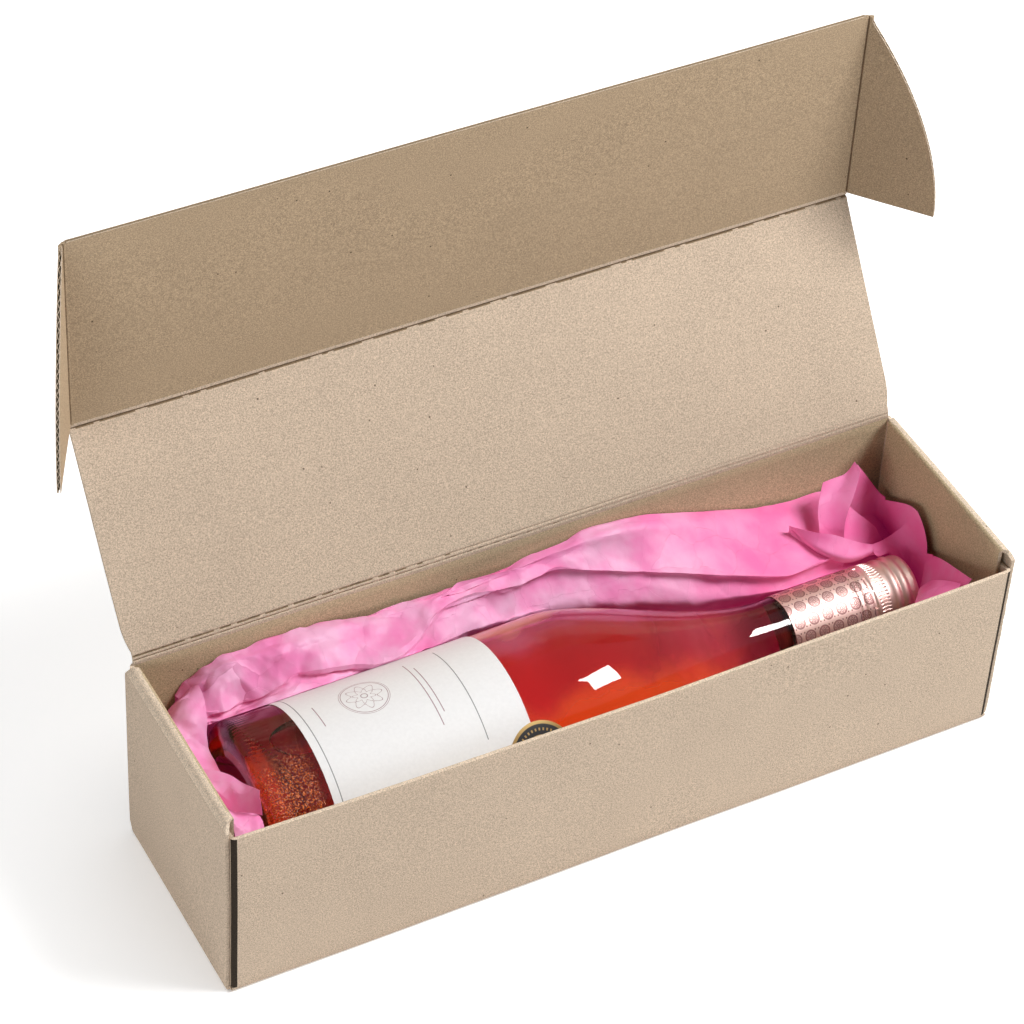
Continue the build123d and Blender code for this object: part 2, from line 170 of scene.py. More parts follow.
# %% Wrap a material or a world
class Paint:
    """A tree of shader nodes, with one method for every kind of node."""

    def __init__(self, name, kind="materials", out="ShaderNodeOutputMaterial"):
        self.block = getattr(bpy.data, kind).new(name)
        self.block.use_nodes = True
        self.tree = self.block.node_tree
        self.tree.nodes.clear()
        self.out = self.tree.nodes.new(out)

    def node(self, kind, settings=None, inputs=None, output=0):
        made = self.tree.nodes.new(kind)
        for key, value in (settings or {}).items():
            setattr(made, key, value)
        for key, value in (inputs or {}).items():
            if isinstance(value, Value):
                self.tree.links.new(value.output, made.inputs[key])
            elif value is not None:
                made.inputs[key].default_value = value
        return Value(self, made.outputs[output])

    def maths(self, operation, *values):
        return self.node("ShaderNodeMath", {"operation": operation}, dict(enumerate(values)))

    def place(self, origin=(0, 0, 0), turn=(0, 0, 0)):
        """Object coordinates, moved to an origin and turned."""
        where = self.node("ShaderNodeTexCoord", output="Object")
        return self.node("ShaderNodeMapping", {"vector_type": "TEXTURE"},
                         {"Vector": where, "Location": origin, "Rotation": turn})

    def parts(self, vector):
        split = self.node("ShaderNodeSeparateXYZ", {}, {0: vector}).output.node
        return [Value(self, split.outputs[i]) for i in range(3)]

    def ray(self, kind):
        """1 for rays of one kind, such as "Is Camera Ray"."""
        return self.node("ShaderNodeLightPath", output=kind)

    def polar(self, u, v):
        """The radius and the angle of a place."""
        return (u * u + v * v).root(), self.maths("ARCTAN2", v, u)

    def vectors(self, operation, *values, output=0):
        return self.node("ShaderNodeVectorMath", {"operation": operation},
                         dict(enumerate(values)), output)

    def cells(self, where, size, output):
        """Voronoi cells of one size: the distance, the place or the colour of the nearest."""
        return self.node("ShaderNodeTexVoronoi", {}, {"Vector": where, "Scale": 1 / size}, output)

    def noise(self, vector, scale, detail=2.0):
        return self.node("ShaderNodeTexNoise", {},
                         {"Vector": vector, "Scale": scale, "Detail": detail})

    def mix(self, factor, first, second):
        """A colour between two colours."""
        return self.node("ShaderNodeMix", {"data_type": "RGBA"},
                         {"Factor": factor, 6: first, 7: second}, output=2)

    def blend(self, factor, first, second):
        """A shader between two shaders."""
        return self.node("ShaderNodeMixShader", {}, {0: factor, 1: first, 2: second})

    def bump(self, height, distance, strength=1.0, over=None):
        return self.node("ShaderNodeBump", {}, {"Height": height, "Distance": distance,
                                                "Strength": strength, "Normal": over})

    def surface(self, **sockets):
        """A Principled surface, from its sockets' names with _ for a space."""
        named = {key.replace("_", " "): value for key, value in sockets.items()}
        return self.node("ShaderNodeBsdfPrincipled", {}, named)

    def finish(self, shader, volume=None):
        self.tree.links.new(shader.output, self.out.inputs["Surface"])
        if volume is not None:
            self.tree.links.new(volume.output, self.out.inputs["Volume"])
        return self.block


def colour(red, green, blue):
    """A colour as the photograph gives it, 0 to 255, made linear."""
    def linear(value):
        share = value / 255
        return share / 12.92 if share <= 0.04045 else ((share + 0.055) / 1.055) ** 2.4
    return (linear(red), linear(green), linear(blue), 1)


print("mid grey:", round(colour(128, 128, 128)[0], 3))

# %% [markdown]
# ## Kraft board
#
# Recycled liner is a mat of pale and dark fibres. Three sizes of noise give its cloud and its
# grain, and three sets of Voronoi cells give dark flecks and pale fibres. The wave inside the
# board shows through as faint ribs, so the bump follows the sheet's own UV map, whose V runs
# across the flutes in metres. Darker copies of the board are painted shade: in the tray, on the
# flap and its ears, in the pressed creases and in the gaps at the front corners. A paler copy is
# worn fibre and a painted highlight on the rolled tops and the front edge, and the pale cut edges.

# %% Mix the kraft board
flute_pitch = 3.3 * mm


def fleck(paint, where, cell, radius, share):
    """Round dots of one size, in a share of the cells."""
    near = paint.cells(where, cell, "Distance")
    chosen = paint.parts(paint.cells(where, cell, "Color"))[0].below(share)
    return (1 - near.step(radius / cell * 0.5, radius / cell)) * chosen


# the size of a fleck's cell, its radius, the share of cells that have one, its strength and colour
flecks = ((0.008, 0.0005, 0.5, 0.85, colour(58, 42, 28)),
          (0.003, 0.00032, 0.5, 0.6, colour(84, 63, 42)),
          (0.003, 0.0003, 0.5, 0.35, colour(226, 212, 190)))


def kraft(name, *base):
    """Kraft board of one shade, given as linear red, green and blue."""
    paint = Paint(name)
    where = paint.place()
    sheet = paint.node("ShaderNodeTexCoord", output="UV")
    cloud = paint.noise(where, 30, 3)
    grain = paint.noise(where, 1700, 2)
    fibre = paint.noise(where, 3300, 1)
    tone = (cloud - 0.5) * 0.14 + (grain - 0.5) * 1.25 + (fibre - 0.5) * 1.3
    pale = tuple(min(c * 1.34, 1) for c in base) + (1,)
    deep = tuple(c * 0.64 for c in base) + (1,)
    mixed = paint.mix((tone + 0.5).step(0.0, 1.0), deep, pale)
    for cell, radius, share, strength, tint in flecks:
        mixed = paint.mix(fleck(paint, where, cell, radius, share) * strength, mixed, tint)
    across = paint.parts(sheet)[1]
    ribs = (across * (2 * math.pi / flute_pitch)).wave() * 0.5
    rough = paint.bump(grain * 0.6 + fibre * 0.4, 0.00008, 0.6)
    ribbed = paint.bump(ribs, 0.000025, 0.5, over=rough)
    return paint.finish(paint.surface(Base_Color=mixed, Roughness=0.92, Normal=ribbed,
                                      Specular_IOR_Level=0.25))


board_paint = kraft("kraft_board", 0.57, 0.45, 0.34)
# darker copies are painted shade; the paler worn copy is also a painted highlight
shade_painted_inside = kraft("kraft_shade_painted_in", 0.53, 0.42, 0.27)
shade_painted_flap = kraft("kraft_shade_painted_flap", 0.42, 0.31, 0.20)
shade_painted_crease = kraft("kraft_shade_painted_crease", 0.24, 0.165, 0.10)
worn_and_highlight_paint = kraft("kraft_wear_and_highlight", 0.74, 0.60, 0.46)
shadow_painted_gap = kraft("kraft_shadow_painted_gap", 0.034, 0.024, 0.016)
print("materials:", len(bpy.data.materials))

# %% [markdown]
# ## A sheet laid out by a formula
#
# Folded board is easiest to describe as a flat grid whose points are put in place one by one: the
# row says how far along the folded path a point is, the column how far along the box. The grid
# comes from a primitive, and Solidify and Bevel give it its thickness and its soft cut edges.
# A gentle warp, the same for every sheet at the same place, takes away the ruler-straight look.

# %% Lay a sheet
board = 1.6 * mm
warp_depth = 0.35 * mm
warp_length = 0.07
noise.seed_set(5)      # noise_vector starts from the clock without it


def warp(point):
    """How far the board strays from a perfect plane at a point."""
    slow = noise.noise_vector(point / warp_length)
    quick = noise.noise_vector(point / (warp_length / 6))
    return slow * warp_depth + quick * warp_depth / 9


print("warp:", warp_depth / mm, "mm over", warp_length / mm, "mm")


# %% Work on one piece at a time
def only(piece):
    """Make one object the active and only selected one."""
    bpy.ops.object.select_all(action="DESELECT")
    piece.select_set(True)
    bpy.context.view_layer.objects.active = piece


def lay(name, rows, columns, place, paint, warped=True):
    """A grid whose point at (row, column) lies where place says, with UV in metres."""
    bpy.ops.object.select_all(action="DESELECT")
    bpy.ops.mesh.primitive_grid_add(x_subdivisions=columns, y_subdivisions=rows, size=1)
    piece = bpy.context.object
    piece.name = piece.data.name = name
    sheet_uv = {}
    for vertex in piece.data.vertices:
        column = round((vertex.co.x + 0.5) * columns)
        row = round((vertex.co.y + 0.5) * rows)
        point, uv = place(row, column)
        vertex.co = point + warp(point) if warped else point
        sheet_uv[vertex.index] = uv
    layer = piece.data.uv_layers.active
    for loop in piece.data.loops:
        layer.data[loop.index].uv = sheet_uv[loop.vertex_index]
    piece.data.materials.append(paint)
    return piece


def apply(piece, kind, **settings):
    """Add a modifier and apply it."""
    only(piece)
    modifier = piece.modifiers.new(kind.lower(), kind)
    for key, value in settings.items():
        setattr(modifier, key, value)
    bpy.ops.object.modifier_apply(modifier=modifier.name)


def outwards(piece):
    """Turn all faces outwards."""
    only(piece)
    bpy.ops.object.mode_set(mode="EDIT")
    bpy.ops.mesh.select_all(action="SELECT")
    bpy.ops.mesh.normals_make_consistent(inside=False)
    bpy.ops.object.mode_set(mode="OBJECT")


def smooth(piece, degrees):
    """Shade smooth, but keep edges sharp that turn by more than an angle."""
    only(piece)
    bpy.ops.object.shade_smooth_by_angle(angle=math.radians(degrees))


def thicken(piece, thickness, soft):
    """Give a sheet its thickness, and soften its cut edges."""
    apply(piece, "SOLIDIFY", thickness=thickness, offset=0.0, use_even_offset=True)
    outwards(piece)
    if soft:
        apply(piece, "BEVEL", width=soft, segments=2, limit_method="ANGLE",
              angle_limit=math.radians(50))
    smooth(piece, 40)


def join(name, pieces):
    """One object from several."""
    bpy.ops.object.select_all(action="DESELECT")
    for piece in pieces:
        piece.select_set(True)
    bpy.context.view_layer.objects.active = pieces[0]
    bpy.ops.object.join()
    joined = bpy.context.object
    joined.name = joined.data.name = name
    return joined


def folded(corners, radius, step):
    """A path through the corners, each rounded, as points with their length along it."""
    corners = [Vector(c) for c in corners]
    points = [corners[0]]
    for before, corner, after in zip(corners, corners[1:], corners[2:]):
        start = corner + (before - corner).normalized() * radius
        end = corner + (after - corner).normalized() * radius
        for i in range(7):
            t = i / 6
            points.append(start * (1 - t) ** 2 + corner * 2 * t * (1 - t) + end * t ** 2)
    points.append(corners[-1])
    path = [(points[0], 0.0)]
    for before, after in zip(points, points[1:]):
        run = (after - before).length
        pieces = max(1, round(run / step))
        for i in range(1, pieces + 1):
            path.append((before.lerp(after, i / pieces), path[-1][1] + run / pieces))
    return path


def rounding(radius, distance):
    """How far a round corner draws a side in, at a distance from the corner's end."""
    return radius - math.sqrt(max(radius ** 2 - max(radius - distance, 0) ** 2, 0))


print("a folded corner has", len(folded([(0, 0), (0.1, 0), (0.1, 0.1)], 2 * mm, 0.1)), "points")

# %% [markdown]
# ## The tray
#
# The base turns up into the front and the back wall, and each wall turns in at its ends into a
# corner flap. Each end of the base turns up, rolls over both corner flaps and comes down inside,
# where two tabs lock it in slots in the base. The walls, the base and the two rolled ends are four
# folded paths, so they are four grids.

# %% Measure the tray
low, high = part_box("tray")
back_face = high.y
front_face = low.y
outer_end = high.x
hinge = Vector(joints["lid_hinge"]["pos_m"])
front_top = 87.0 * mm
end_top = 92.0 * mm
half_box = 170.0 * mm
half = board / 2
layer_gap = 0.3 * mm
end_wall = 5.4 * mm             # an end's two walls, with what lies between them
wall_foot = 2.0 * mm
crease_reach = 2.6 * mm
corner_flap = 41.0 * mm
flap_taper = 3.0 * mm
print("tray:", [round(v / mm, 1) for v in high - low], "mm")


# %% Fold the base
fold_radius = 1.1 * mm
longest_step = 6 * mm
base_columns = 56
base_path = folded([(front_face + half, wall_foot), (front_face + half, half),
                    (back_face - half, half), (back_face - half, wall_foot)],
                   fold_radius, longest_step)


def base_place(row, column):
    point, length = base_path[row]
    x = -half_box + 2 * half_box * column / base_columns
    return Vector((x, point.x, point.y)), (x, length)


base = lay("base", len(base_path) - 1, base_columns, base_place, board_paint)
thicken(base, board, soft=0)
print("base:", len(base.data.polygons), "faces")


# %% Fold the walls, each with its two corner flaps
def wall(name, wall_y, way, top, flap_top):
    """A wall along the box, from its foot to its top, turned in at both ends."""
    rows = 18
    end_x = half_box - half
    path = folded([(-end_x, wall_y + way * corner_flap), (-end_x, wall_y),
                   (end_x, wall_y), (end_x, wall_y + way * corner_flap)],
                  1.3 * mm, longest_step)
    flap_low = board + layer_gap

    def place(row, column):
        point, length = path[column]
        inside = abs(point.y - wall_y) / corner_flap
        turned_in = min(1.0, inside * 12)
        taper = flap_taper * inside
        low_z = wall_foot + (flap_low + taper - wall_foot) * turned_in
        high_z = top + (flap_top - taper - top) * turned_in
        z = low_z + (high_z - low_z) * row / rows
        return Vector((point.x, point.y, z)), (length, z)

    piece = lay(name, rows, len(path) - 1, place, board_paint)
    thicken(piece, board, soft=0.2 * mm)
    return piece


front_wall = wall("front_wall", front_face + half, 1, front_top, front_top - 0.6 * mm)
for corner in front_wall.data.vertices:      # the long edge sags between its ends
    along = (corner.co.x + half_box) / (2 * half_box)
    sag = (1.0 + 10.2 * along - 8.4 * along ** 2) * mm
    corner.co.z -= sag * (corner.co.z / front_top) ** 4
back_wall = wall("back_wall", back_face - half, -1, hinge.z - crease_reach,
                 end_top - board - layer_gap)
print("front wall's top:", round(max(v.co.z for v in front_wall.data.vertices) / mm, 1), "mm")


# %% Roll the ends
def rolled_end(name, side):
    """An outer wall, its rolled top and the inner wall, one path from the base's end."""
    outer_x = outer_end - half
    inner_x = outer_end - end_wall + half
    top_z = end_top - half
    slant_high, slant_wide = 3.2 * mm, 1.5 * mm
    path = folded([(half_box, half), (outer_x, half), (outer_x, top_z - slant_high),
                   (outer_x - slant_wide, top_z), (inner_x, top_z), (inner_x, board + layer_gap)],
                  1.05 * mm, 4 * mm)
    roll_start = next(length for point, length in path if point.y > top_z - 3.4 * mm)
    roll_end = next(length for point, length in path if point.y > top_z - 1.2 * mm and
                    point.x <= inner_x + 0.01 * mm)
    corner = 7.0 * mm               # the outer wall's foot is rounded at the back
    torn, tear_length = 0.5 * mm, 3 * mm
    columns = 24
    outer_low, outer_high = front_face + 1.9 * mm, back_face - 1.0 * mm
    inner_low, inner_high = front_face + 6.0 * mm, back_face - 4.5 * mm

    def place(row, column):
        point, length = path[row]
        t = min(max((length - roll_start) / (roll_end - roll_start), 0), 1)
        y0 = outer_low + (inner_low - outer_low) * t
        y1 = outer_high + (inner_high - outer_high) * t
        if length < roll_start:
            y1 -= rounding(corner, point.y)
        if column == 0 and length < roll_start:
            y0 += torn * noise.noise(Vector((length / tear_length, side, 0)))
        y = y0 + (y1 - y0) * column / columns
        return Vector((side * point.x, y, point.y)), (y, length)

    piece = lay(name, len(path) - 1, columns, place, board_paint)
    thicken(piece, board, soft=0.2 * mm)
    return piece


right_end = rolled_end("right_end", 1)
left_end = rolled_end("left_end", -1)
print("ends:", len(right_end.data.polygons), "faces each")

# %% Lock the tabs in their slots
tab_width = 22.0 * mm
tab_spacing = 44.0 * mm
tab_x = outer_end - end_wall + half
slot_play = 0.8 * mm


def cube(name, centre, size):
    bpy.ops.object.select_all(action="DESELECT")
    bpy.ops.mesh.primitive_cube_add(size=1, location=centre, scale=size)
    bpy.ops.object.transform_apply(location=True, rotation=True, scale=True)
    piece = bpy.context.object
    piece.name = piece.data.name = name
    return piece


tabs = []
for side in (-1, 1):
    for y in (-tab_spacing / 2, tab_spacing / 2):
        slot = cube("slot", (side * tab_x, y, half),
                    (board + slot_play, tab_width + slot_play, 3 * board))
        apply(base, "BOOLEAN", object=slot, operation="DIFFERENCE")
        bpy.data.objects.remove(slot)
        tab = cube("tab", (side * tab_x, y, board), (board, tab_width, 2 * board - 2 * layer_gap))
        apply(tab, "BEVEL", width=0.3 * mm, segments=2)
        tab.data.materials.append(board_paint)
        tabs.append(tab)

tray_board = join("tray_board", [base, front_wall, back_wall, right_end, left_end] + tabs)
print("tabs:", len(tabs))

# %% Paint shade into the tray's inside and front corner gaps, wear and highlight onto its tops
painted_inner_slot, wear_and_highlight_slot, painted_shadow_slot = 1, 2, 3
for paint in (shade_painted_inside, worn_and_highlight_paint, shadow_painted_gap):
    tray_board.data.materials.append(paint)
for face in tray_board.data.polygons:
    x, y, z = face.center
    upward = face.normal.z
    # rolled tops and the front edge's top are paler: worn fibre and a painted highlight
    on_roll = upward > 0.3 and z > end_top - 4.2 * mm and abs(x) > outer_end - 6 * mm
    on_edge = upward > 0.7 and z > front_top - 6 * mm and y < front_face + board + 0.3 * mm
    # the front corner folds seen in the slot are painted near-black as shadow
    on_fold = abs(x) > half_box - half - 1.1 * mm and y < front_face + 1.4 * mm and z > 1.5 * mm
    between_walls = (abs(x) < outer_end - 3.7 * mm
                     and front_face + 0.9 * mm < y < back_face - 0.9 * mm)
    inward = face.normal.dot(Vector((x / outer_end, y / back_face, 0))) < -0.3
    # faces that look into the box get painted shade
    if between_walls and inward:
        face.material_index = painted_inner_slot
    elif on_fold and abs(x) < outer_end - board and upward < 0.7:
        face.material_index = painted_shadow_slot
    elif on_roll or on_edge:
        face.material_index = wear_and_highlight_slot
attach(tray_board, "tray")
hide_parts("tray")
print("tray board:", len(tray_board.data.polygons), "faces")

# %% [markdown]
# ## Lid, flap and ears
#
# These show their cut ends, so they are built as the board is: two liners with a wave of paper
# between them. The wave runs along the flutes, and the liners are thin closed sheets.

# %% Glue up a fluted panel
liner = 0.3 * mm
wave_paper = 0.22 * mm


def fluted(name, origin, along, across, inner, start, end, edges, paint, columns=40):
    """A panel from start to end across the flutes, whose edges(v) gives its two ends."""
    def at(v, column, total, height):
        first, last = edges(v)
        u = first + (last - first) * column / total
        return origin + along * u + across * v + inner * height, (u, v)

    def liner_place(height, rows):
        return lambda row, column: at(start + (end - start) * row / rows, column, columns, height)

    made = []
    rows = 40
    for face_name, height in (("inner", half - liner / 2), ("outer", liner / 2 - half)):
        sheet = lay(name + "_" + face_name, rows, columns, liner_place(height, rows), paint)
        thicken(sheet, liner, soft=0)
        made.append(sheet)
    wave_rows = round((end - start) / flute_pitch) * 8
    depth = half - liner - wave_paper / 2

    def wave_place(row, column):
        v = start + (end - start) * row / wave_rows
        return at(v, column, columns // 2, depth * math.sin(2 * math.pi * v / flute_pitch))

    wave = lay(name + "_wave", wave_rows, columns // 2, wave_place, paint)
    thicken(wave, wave_paper, soft=0)
    made.append(wave)
    panel = join(name, made)
    panel.data.materials.append(worn_and_highlight_paint)
    for face in panel.data.polygons:      # the cut edges are paler than the sheet
        if abs(face.normal.dot(inner)) < 0.25:
            face.material_index = len(panel.data.materials) - 1
    return panel


x_axis = Vector((1, 0, 0))
fold = Vector(joints["tuck_flap_fold"]["pos_m"])
lid_across = (fold - hinge).normalized()
lid_inner = x_axis.cross(lid_across)
lid_depth = (fold - hinge).length
flap_across = -Vector(joints["right_ear_fold"]["axis"])
flap_inner = x_axis.cross(flap_across)
flap_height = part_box("tuck_flap")[1].z - fold.z
print("lid", round(lid_depth / mm, 1), "mm deep, flap", round(flap_height / mm, 1), "mm")

# %% Set the lid and its flap
lid_inset = 2.6 * mm
lid_corner = 14.0 * mm


def lid_edges(v):
    """The lid narrows in a curve towards its hinge."""
    t = min(v / lid_corner, 1)
    edge = half_box - lid_inset * (1 - t) ** 2
    return -edge, edge


lid_board = fluted("lid_board", hinge, x_axis, lid_across, lid_inner, crease_reach,
                   lid_depth - crease_reach, lid_edges, board_paint)
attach(lid_board, "lid")
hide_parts("lid_panel")

ear_reach = 1.9 * mm
# the flap and its ears take a darker copy of the board: painted shade
flap_board = fluted("flap_board", fold, x_axis, flap_across, flap_inner, crease_reach, flap_height,
                    lambda v: (ear_reach - half_box, half_box - ear_reach), shade_painted_flap)
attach(flap_board, "flap")
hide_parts("tuck_flap")
print("lid and flap:", len(lid_board.data.polygons) + len(flap_board.data.polygons), "faces")

# %% Cut the ears
ear_length = 37.5 * mm
ear_inset = 2.0 * mm
ear_bow = 9.5 * mm


def ear_width(v):
    """How far an ear reaches out at a distance v from the lid's fold: a bowed edge."""
    chord_end = flap_height - 0.5 * mm
    t = (v - ear_inset) / (chord_end - ear_inset)
    chord = math.hypot(ear_length, chord_end - ear_inset)
    radius = (chord ** 2 / 4 + ear_bow ** 2) / (2 * ear_bow)
    along_chord = (t - 0.5) * chord
    bow = math.sqrt(max(radius ** 2 - along_chord ** 2, 0)) - (radius - ear_bow)
    return max(ear_reach + 0.1 * mm, ear_length * (1 - t) + bow * (chord_end - ear_inset) / chord)


def ear(side, joint):
    bend = math.radians(-joints[joint]["range_deg"][0])
    out = x_axis * side * math.cos(bend) + flap_inner * math.sin(bend)
    inner = out.cross(flap_across) * side
    origin = fold + x_axis * side * half_box
    name = ("right" if side > 0 else "left") + "_ear_board"
    piece = fluted(name, origin, out, flap_across, inner, ear_inset, flap_height - 0.3 * mm,
                   lambda v: (ear_reach, ear_width(v)), shade_painted_flap, columns=16)
    body = name.replace("_board", "")
    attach(piece, body)
    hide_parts(body)
    return out, inner


right_out, right_inner = ear(1, "right_ear_fold")
left_out, left_inner = ear(-1, "left_ear_fold")
print("ears:", round(ear_length / mm, 1), "mm out")

# %% [markdown]
# ## Creases
# A crease is the same sheet, pressed thin along a line. Each one is a strip with its own section:
# a smooth path from one panel to the next, with the board's two faces set out from it, and grooves
# where the tool pressed it.
# a smooth path from one panel to the next, with the board's two faces set out from it, and grooves
# where the tool pressed it. A strip bends between its two panels when they turn.

# %% Press the creases
def strip(name, origin, axis, from_panel, to_panel, inner_from, inner_to, reach, start, end,
          groove, paint, steps=140):
    """A crease along an axis, joining a panel on each side; groove(s, u) is the inner dent."""
    turns = 14
    painted_shade_depth = 0.45 * mm
    section = []
    for i in range(turns + 1):
        t = i / turns
        middle = (from_panel * (1 - t) ** 2 + to_panel * t ** 2) * reach
        normal = inner_from.lerp(inner_to, t).normalized()
        section.append((middle, normal, (2 * t - 1) * reach))
    around = len(section)

    def place(row, column):
        u = start + (end - start) * column / steps
        if row < around:
            middle, normal, s = section[row]
            height = half - groove(s, u)
        else:
            middle, normal, s = section[2 * around - 1 - row]
            height = -half + groove(s, u) * 0.3
        point = origin + axis * u + middle
        return point + normal * height, (u, s)

    piece = lay(name, 2 * around - 1, steps, place, paint)
    # the deep part of each groove takes a dark paint: painted shade
    piece.data.materials.append(shade_painted_crease)
    unrolled = piece.data.uv_layers.active.data
    for face in piece.data.polygons:
        u, s = (sum(unrolled[i].uv[k] for i in face.loop_indices) / 4 for k in (0, 1))
        if min(face.vertices) // (steps + 1) < around - 1 and groove(s, u) > painted_shade_depth:
            face.material_index = 1
    only(piece)
    bpy.ops.object.mode_set(mode="EDIT")
    bpy.ops.mesh.select_all(action="DESELECT")
    mesh = bmesh.from_edit_mesh(piece.data)
    seam = [e for e in mesh.edges if e.is_boundary
            and abs((e.verts[0].co - e.verts[1].co).normalized().dot(axis)) > 0.9]
    bmesh.ops.bridge_loops(mesh, edges=seam)
    bmesh.ops.holes_fill(mesh, edges=[e for e in mesh.edges if e.is_boundary])
    bmesh.update_edit_mesh(piece.data)
    bpy.ops.object.mode_set(mode="OBJECT")
    outwards(piece)
    smooth(piece, 45)
    reach_from = origin + from_panel * reach
    reach_to = origin + to_panel * reach
    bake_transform(piece)
    print(name, len(piece.data.polygons), "faces")


# %% Press lines into the creases
def press(s, place, width, depth):
    """A pressed line at a place across the crease."""
    return depth * math.exp(-((s - place) / width) ** 2)


def hinge_groove(s, u):
    """Two lines, which are deeper and more ragged towards the left."""
    worn = 0.5 + 0.5 * min(max(-u / 0.08, -1), 1)
    ragged = 1 + 0.6 * noise.noise(Vector((u / 0.004, 0, 0)))
    return (press(s, 1.1 * mm, 0.3 * mm, 0.7 * mm * ragged * (0.2 + 0.8 * worn))
            + press(s, -0.6 * mm, 0.3 * mm, 0.55 * mm * ragged * (0.5 + 0.5 * worn)))


def fold_groove(s, u):
    ragged = 1 + 0.3 * noise.noise(Vector((u / 0.006, 3, 0)))
    return (press(s, 0.25 * mm, 0.5 * mm, 1.0 * mm * ragged)
            - press(s, -1.3 * mm, 0.6 * mm, 0.15 * mm))


def ear_groove(s, u):
    return press(s, 0.1 * mm, 0.4 * mm, 0.85 * mm)


down = Vector((0, 0, -1))
front_way = Vector((0, -1, 0))
lid_half = lid_edges(crease_reach)[1]
strip("hinge_crease", hinge, x_axis, down, lid_across, front_way, lid_inner, crease_reach,
      -lid_half, lid_half, hinge_groove, board_paint)
strip("flap_crease", fold, x_axis, -lid_across, flap_across, lid_inner, flap_inner, crease_reach,
      -half_box, half_box, fold_groove, board_paint)
for side, name, out, inner in ((1, "right_ear", right_out, right_inner),
                               (-1, "left_ear", left_out, left_inner)):
    strip(name + "_crease", fold + x_axis * half_box * side, flap_across, x_axis * -side, out,
          flap_inner, inner, ear_reach, ear_inset, flap_height - 0.4 * mm, ear_groove,
          shade_painted_flap, steps=30)

# %% [markdown]
# ## Tissue paper
#
# The bottle lies in loose sheets of pink tissue. A large one hangs on the back wall, folds over
# itself above the neck and meets another that runs under the bottle. Smaller ones wrap the base
# and twist up beyond the cap. Tissue keeps sharp folds between soft curves, so each sheet starts
# as a cage of points laid along its main folds. Subdivision rounds it, facets of four sizes
# crumple it, and the paper is then pressed back outside the bottle and inside the walls. The paper
# lets a share of light through it, and a faint painted glow keeps its shadows a saturated pink;
# low down next to the cap its pink is painted a deep magenta as shade.

# %% Mix the tissue
def creased(paint, where, cell):
    """A height of flat facets with sharp edges: each Voronoi cell tilts its own way."""
    reach = paint.vectors("SUBTRACT", where, paint.cells(where, cell, "Position"))
    tilt = paint.vectors("SUBTRACT", paint.cells(where, cell, "Color"), (0.5, 0.5, 0.5))
    return paint.vectors("DOT_PRODUCT", reach, tilt, output="Value")


tissue = Paint("pink_tissue")
where = tissue.place()
sway = tissue.node("ShaderNodeTexNoise", {}, {"Vector": where, "Scale": 90.0, "Detail": 2.0},
                   output="Color")
bent = tissue.vectors("MULTIPLY_ADD", sway, (0.006, 0.006, 0.006), where)
mottle = tissue.noise(where, 60, 4)
fibre = tissue.noise(where, 900, 2)
along_sheet, _, height = tissue.parts(where)
worked = 1 - along_sheet.step(-0.09, 0.05) * 0.7
facet_height = creased(tissue, bent, 0.015) * worked
pale_pink = tissue.mix(mottle.step(0.3, 0.7), colour(255, 150, 205), colour(255, 196, 230))
hot_pink = tissue.mix(mottle.step(0.3, 0.75), colour(255, 122, 184), colour(255, 158, 207))
open_pink = tissue.mix(along_sheet.step(0.03, 0.09), pale_pink, hot_pink)
# low down next to the cap the pink turns deep magenta: painted shade
painted_shade_by_cap = along_sheet.step(0.144, 0.152) * (1 - height.step(0.043, 0.054))
pink = tissue.mix(painted_shade_by_cap * 0.85, open_pink, colour(178, 30, 104))
folds = tissue.bump(facet_height, 0.35)
crinkle = tissue.bump(tissue.noise(where, 260, 3) * 0.7 + fibre * 0.3, 0.00025, 0.45, over=folds)
# the pink emission is a painted glow that keeps the paper's shadows saturated
paper_with_painted_glow = tissue.surface(Base_Color=pink, Roughness=0.5, Normal=crinkle,
                            Specular_IOR_Level=0.4, Emission_Color=(1.0, 0.02, 0.26, 1),
                            Emission_Strength=0.11)
paper_glow = tissue.node("ShaderNodeBsdfTranslucent", {}, {"Color": (1.0, 0.16, 0.46, 1),
                                                           "Normal": crinkle})
pale_bounce = tissue.node("ShaderNodeBsdfDiffuse", {}, {"Color": (0.90, 0.44, 0.56, 1)})
tissue_paint = tissue.finish(tissue.blend(
    tissue.ray("Is Diffuse Ray"), tissue.blend(0.18, paper_with_painted_glow, paper_glow), pale_bounce))
print("material:", tissue_paint.name)

# %% Know where the bottle is
bottle_low, bottle_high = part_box("glass_bottle")
cap_low, cap_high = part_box("screw_cap")
bottle_yaw = math.radians(0.55)
body_radius = (bottle_high.z - bottle_low.z) / 2
bottle_base = Vector((-146.5 * mm, -4.4 * mm, (bottle_high.z + bottle_low.z) / 2))
bottle_way = Vector((math.cos(bottle_yaw), math.sin(bottle_yaw), 0))
neck_radius = 14.2 * mm
cap_radius = (cap_high.z - cap_low.z) / 2
shoulder_start, neck_start, cap_start, full_length = (v * mm for v in (138.0, 236.0, 239.6, 299.6))


def bezier(a, b, c, d, t):
    return a * (1 - t) ** 3 + 3 * b * t * (1 - t) ** 2 + 3 * c * t ** 2 * (1 - t) + d * t ** 3


shoulder_run = neck_start - shoulder_start
shoulder_curve = [
    (bezier(shoulder_start, shoulder_start + 0.26 * shoulder_run, neck_start - 0.33 * shoulder_run,
            neck_start, t),
     bezier(body_radius, body_radius, neck_radius, neck_radius, t)) for t in np.linspace(0, 1, 40)]
profile_s = [0.0] + [s for s, r in shoulder_curve] + [cap_start, cap_start, full_length]
profile_r = [body_radius] + [r for s, r in shoulder_curve] + [neck_radius, cap_radius, cap_radius]


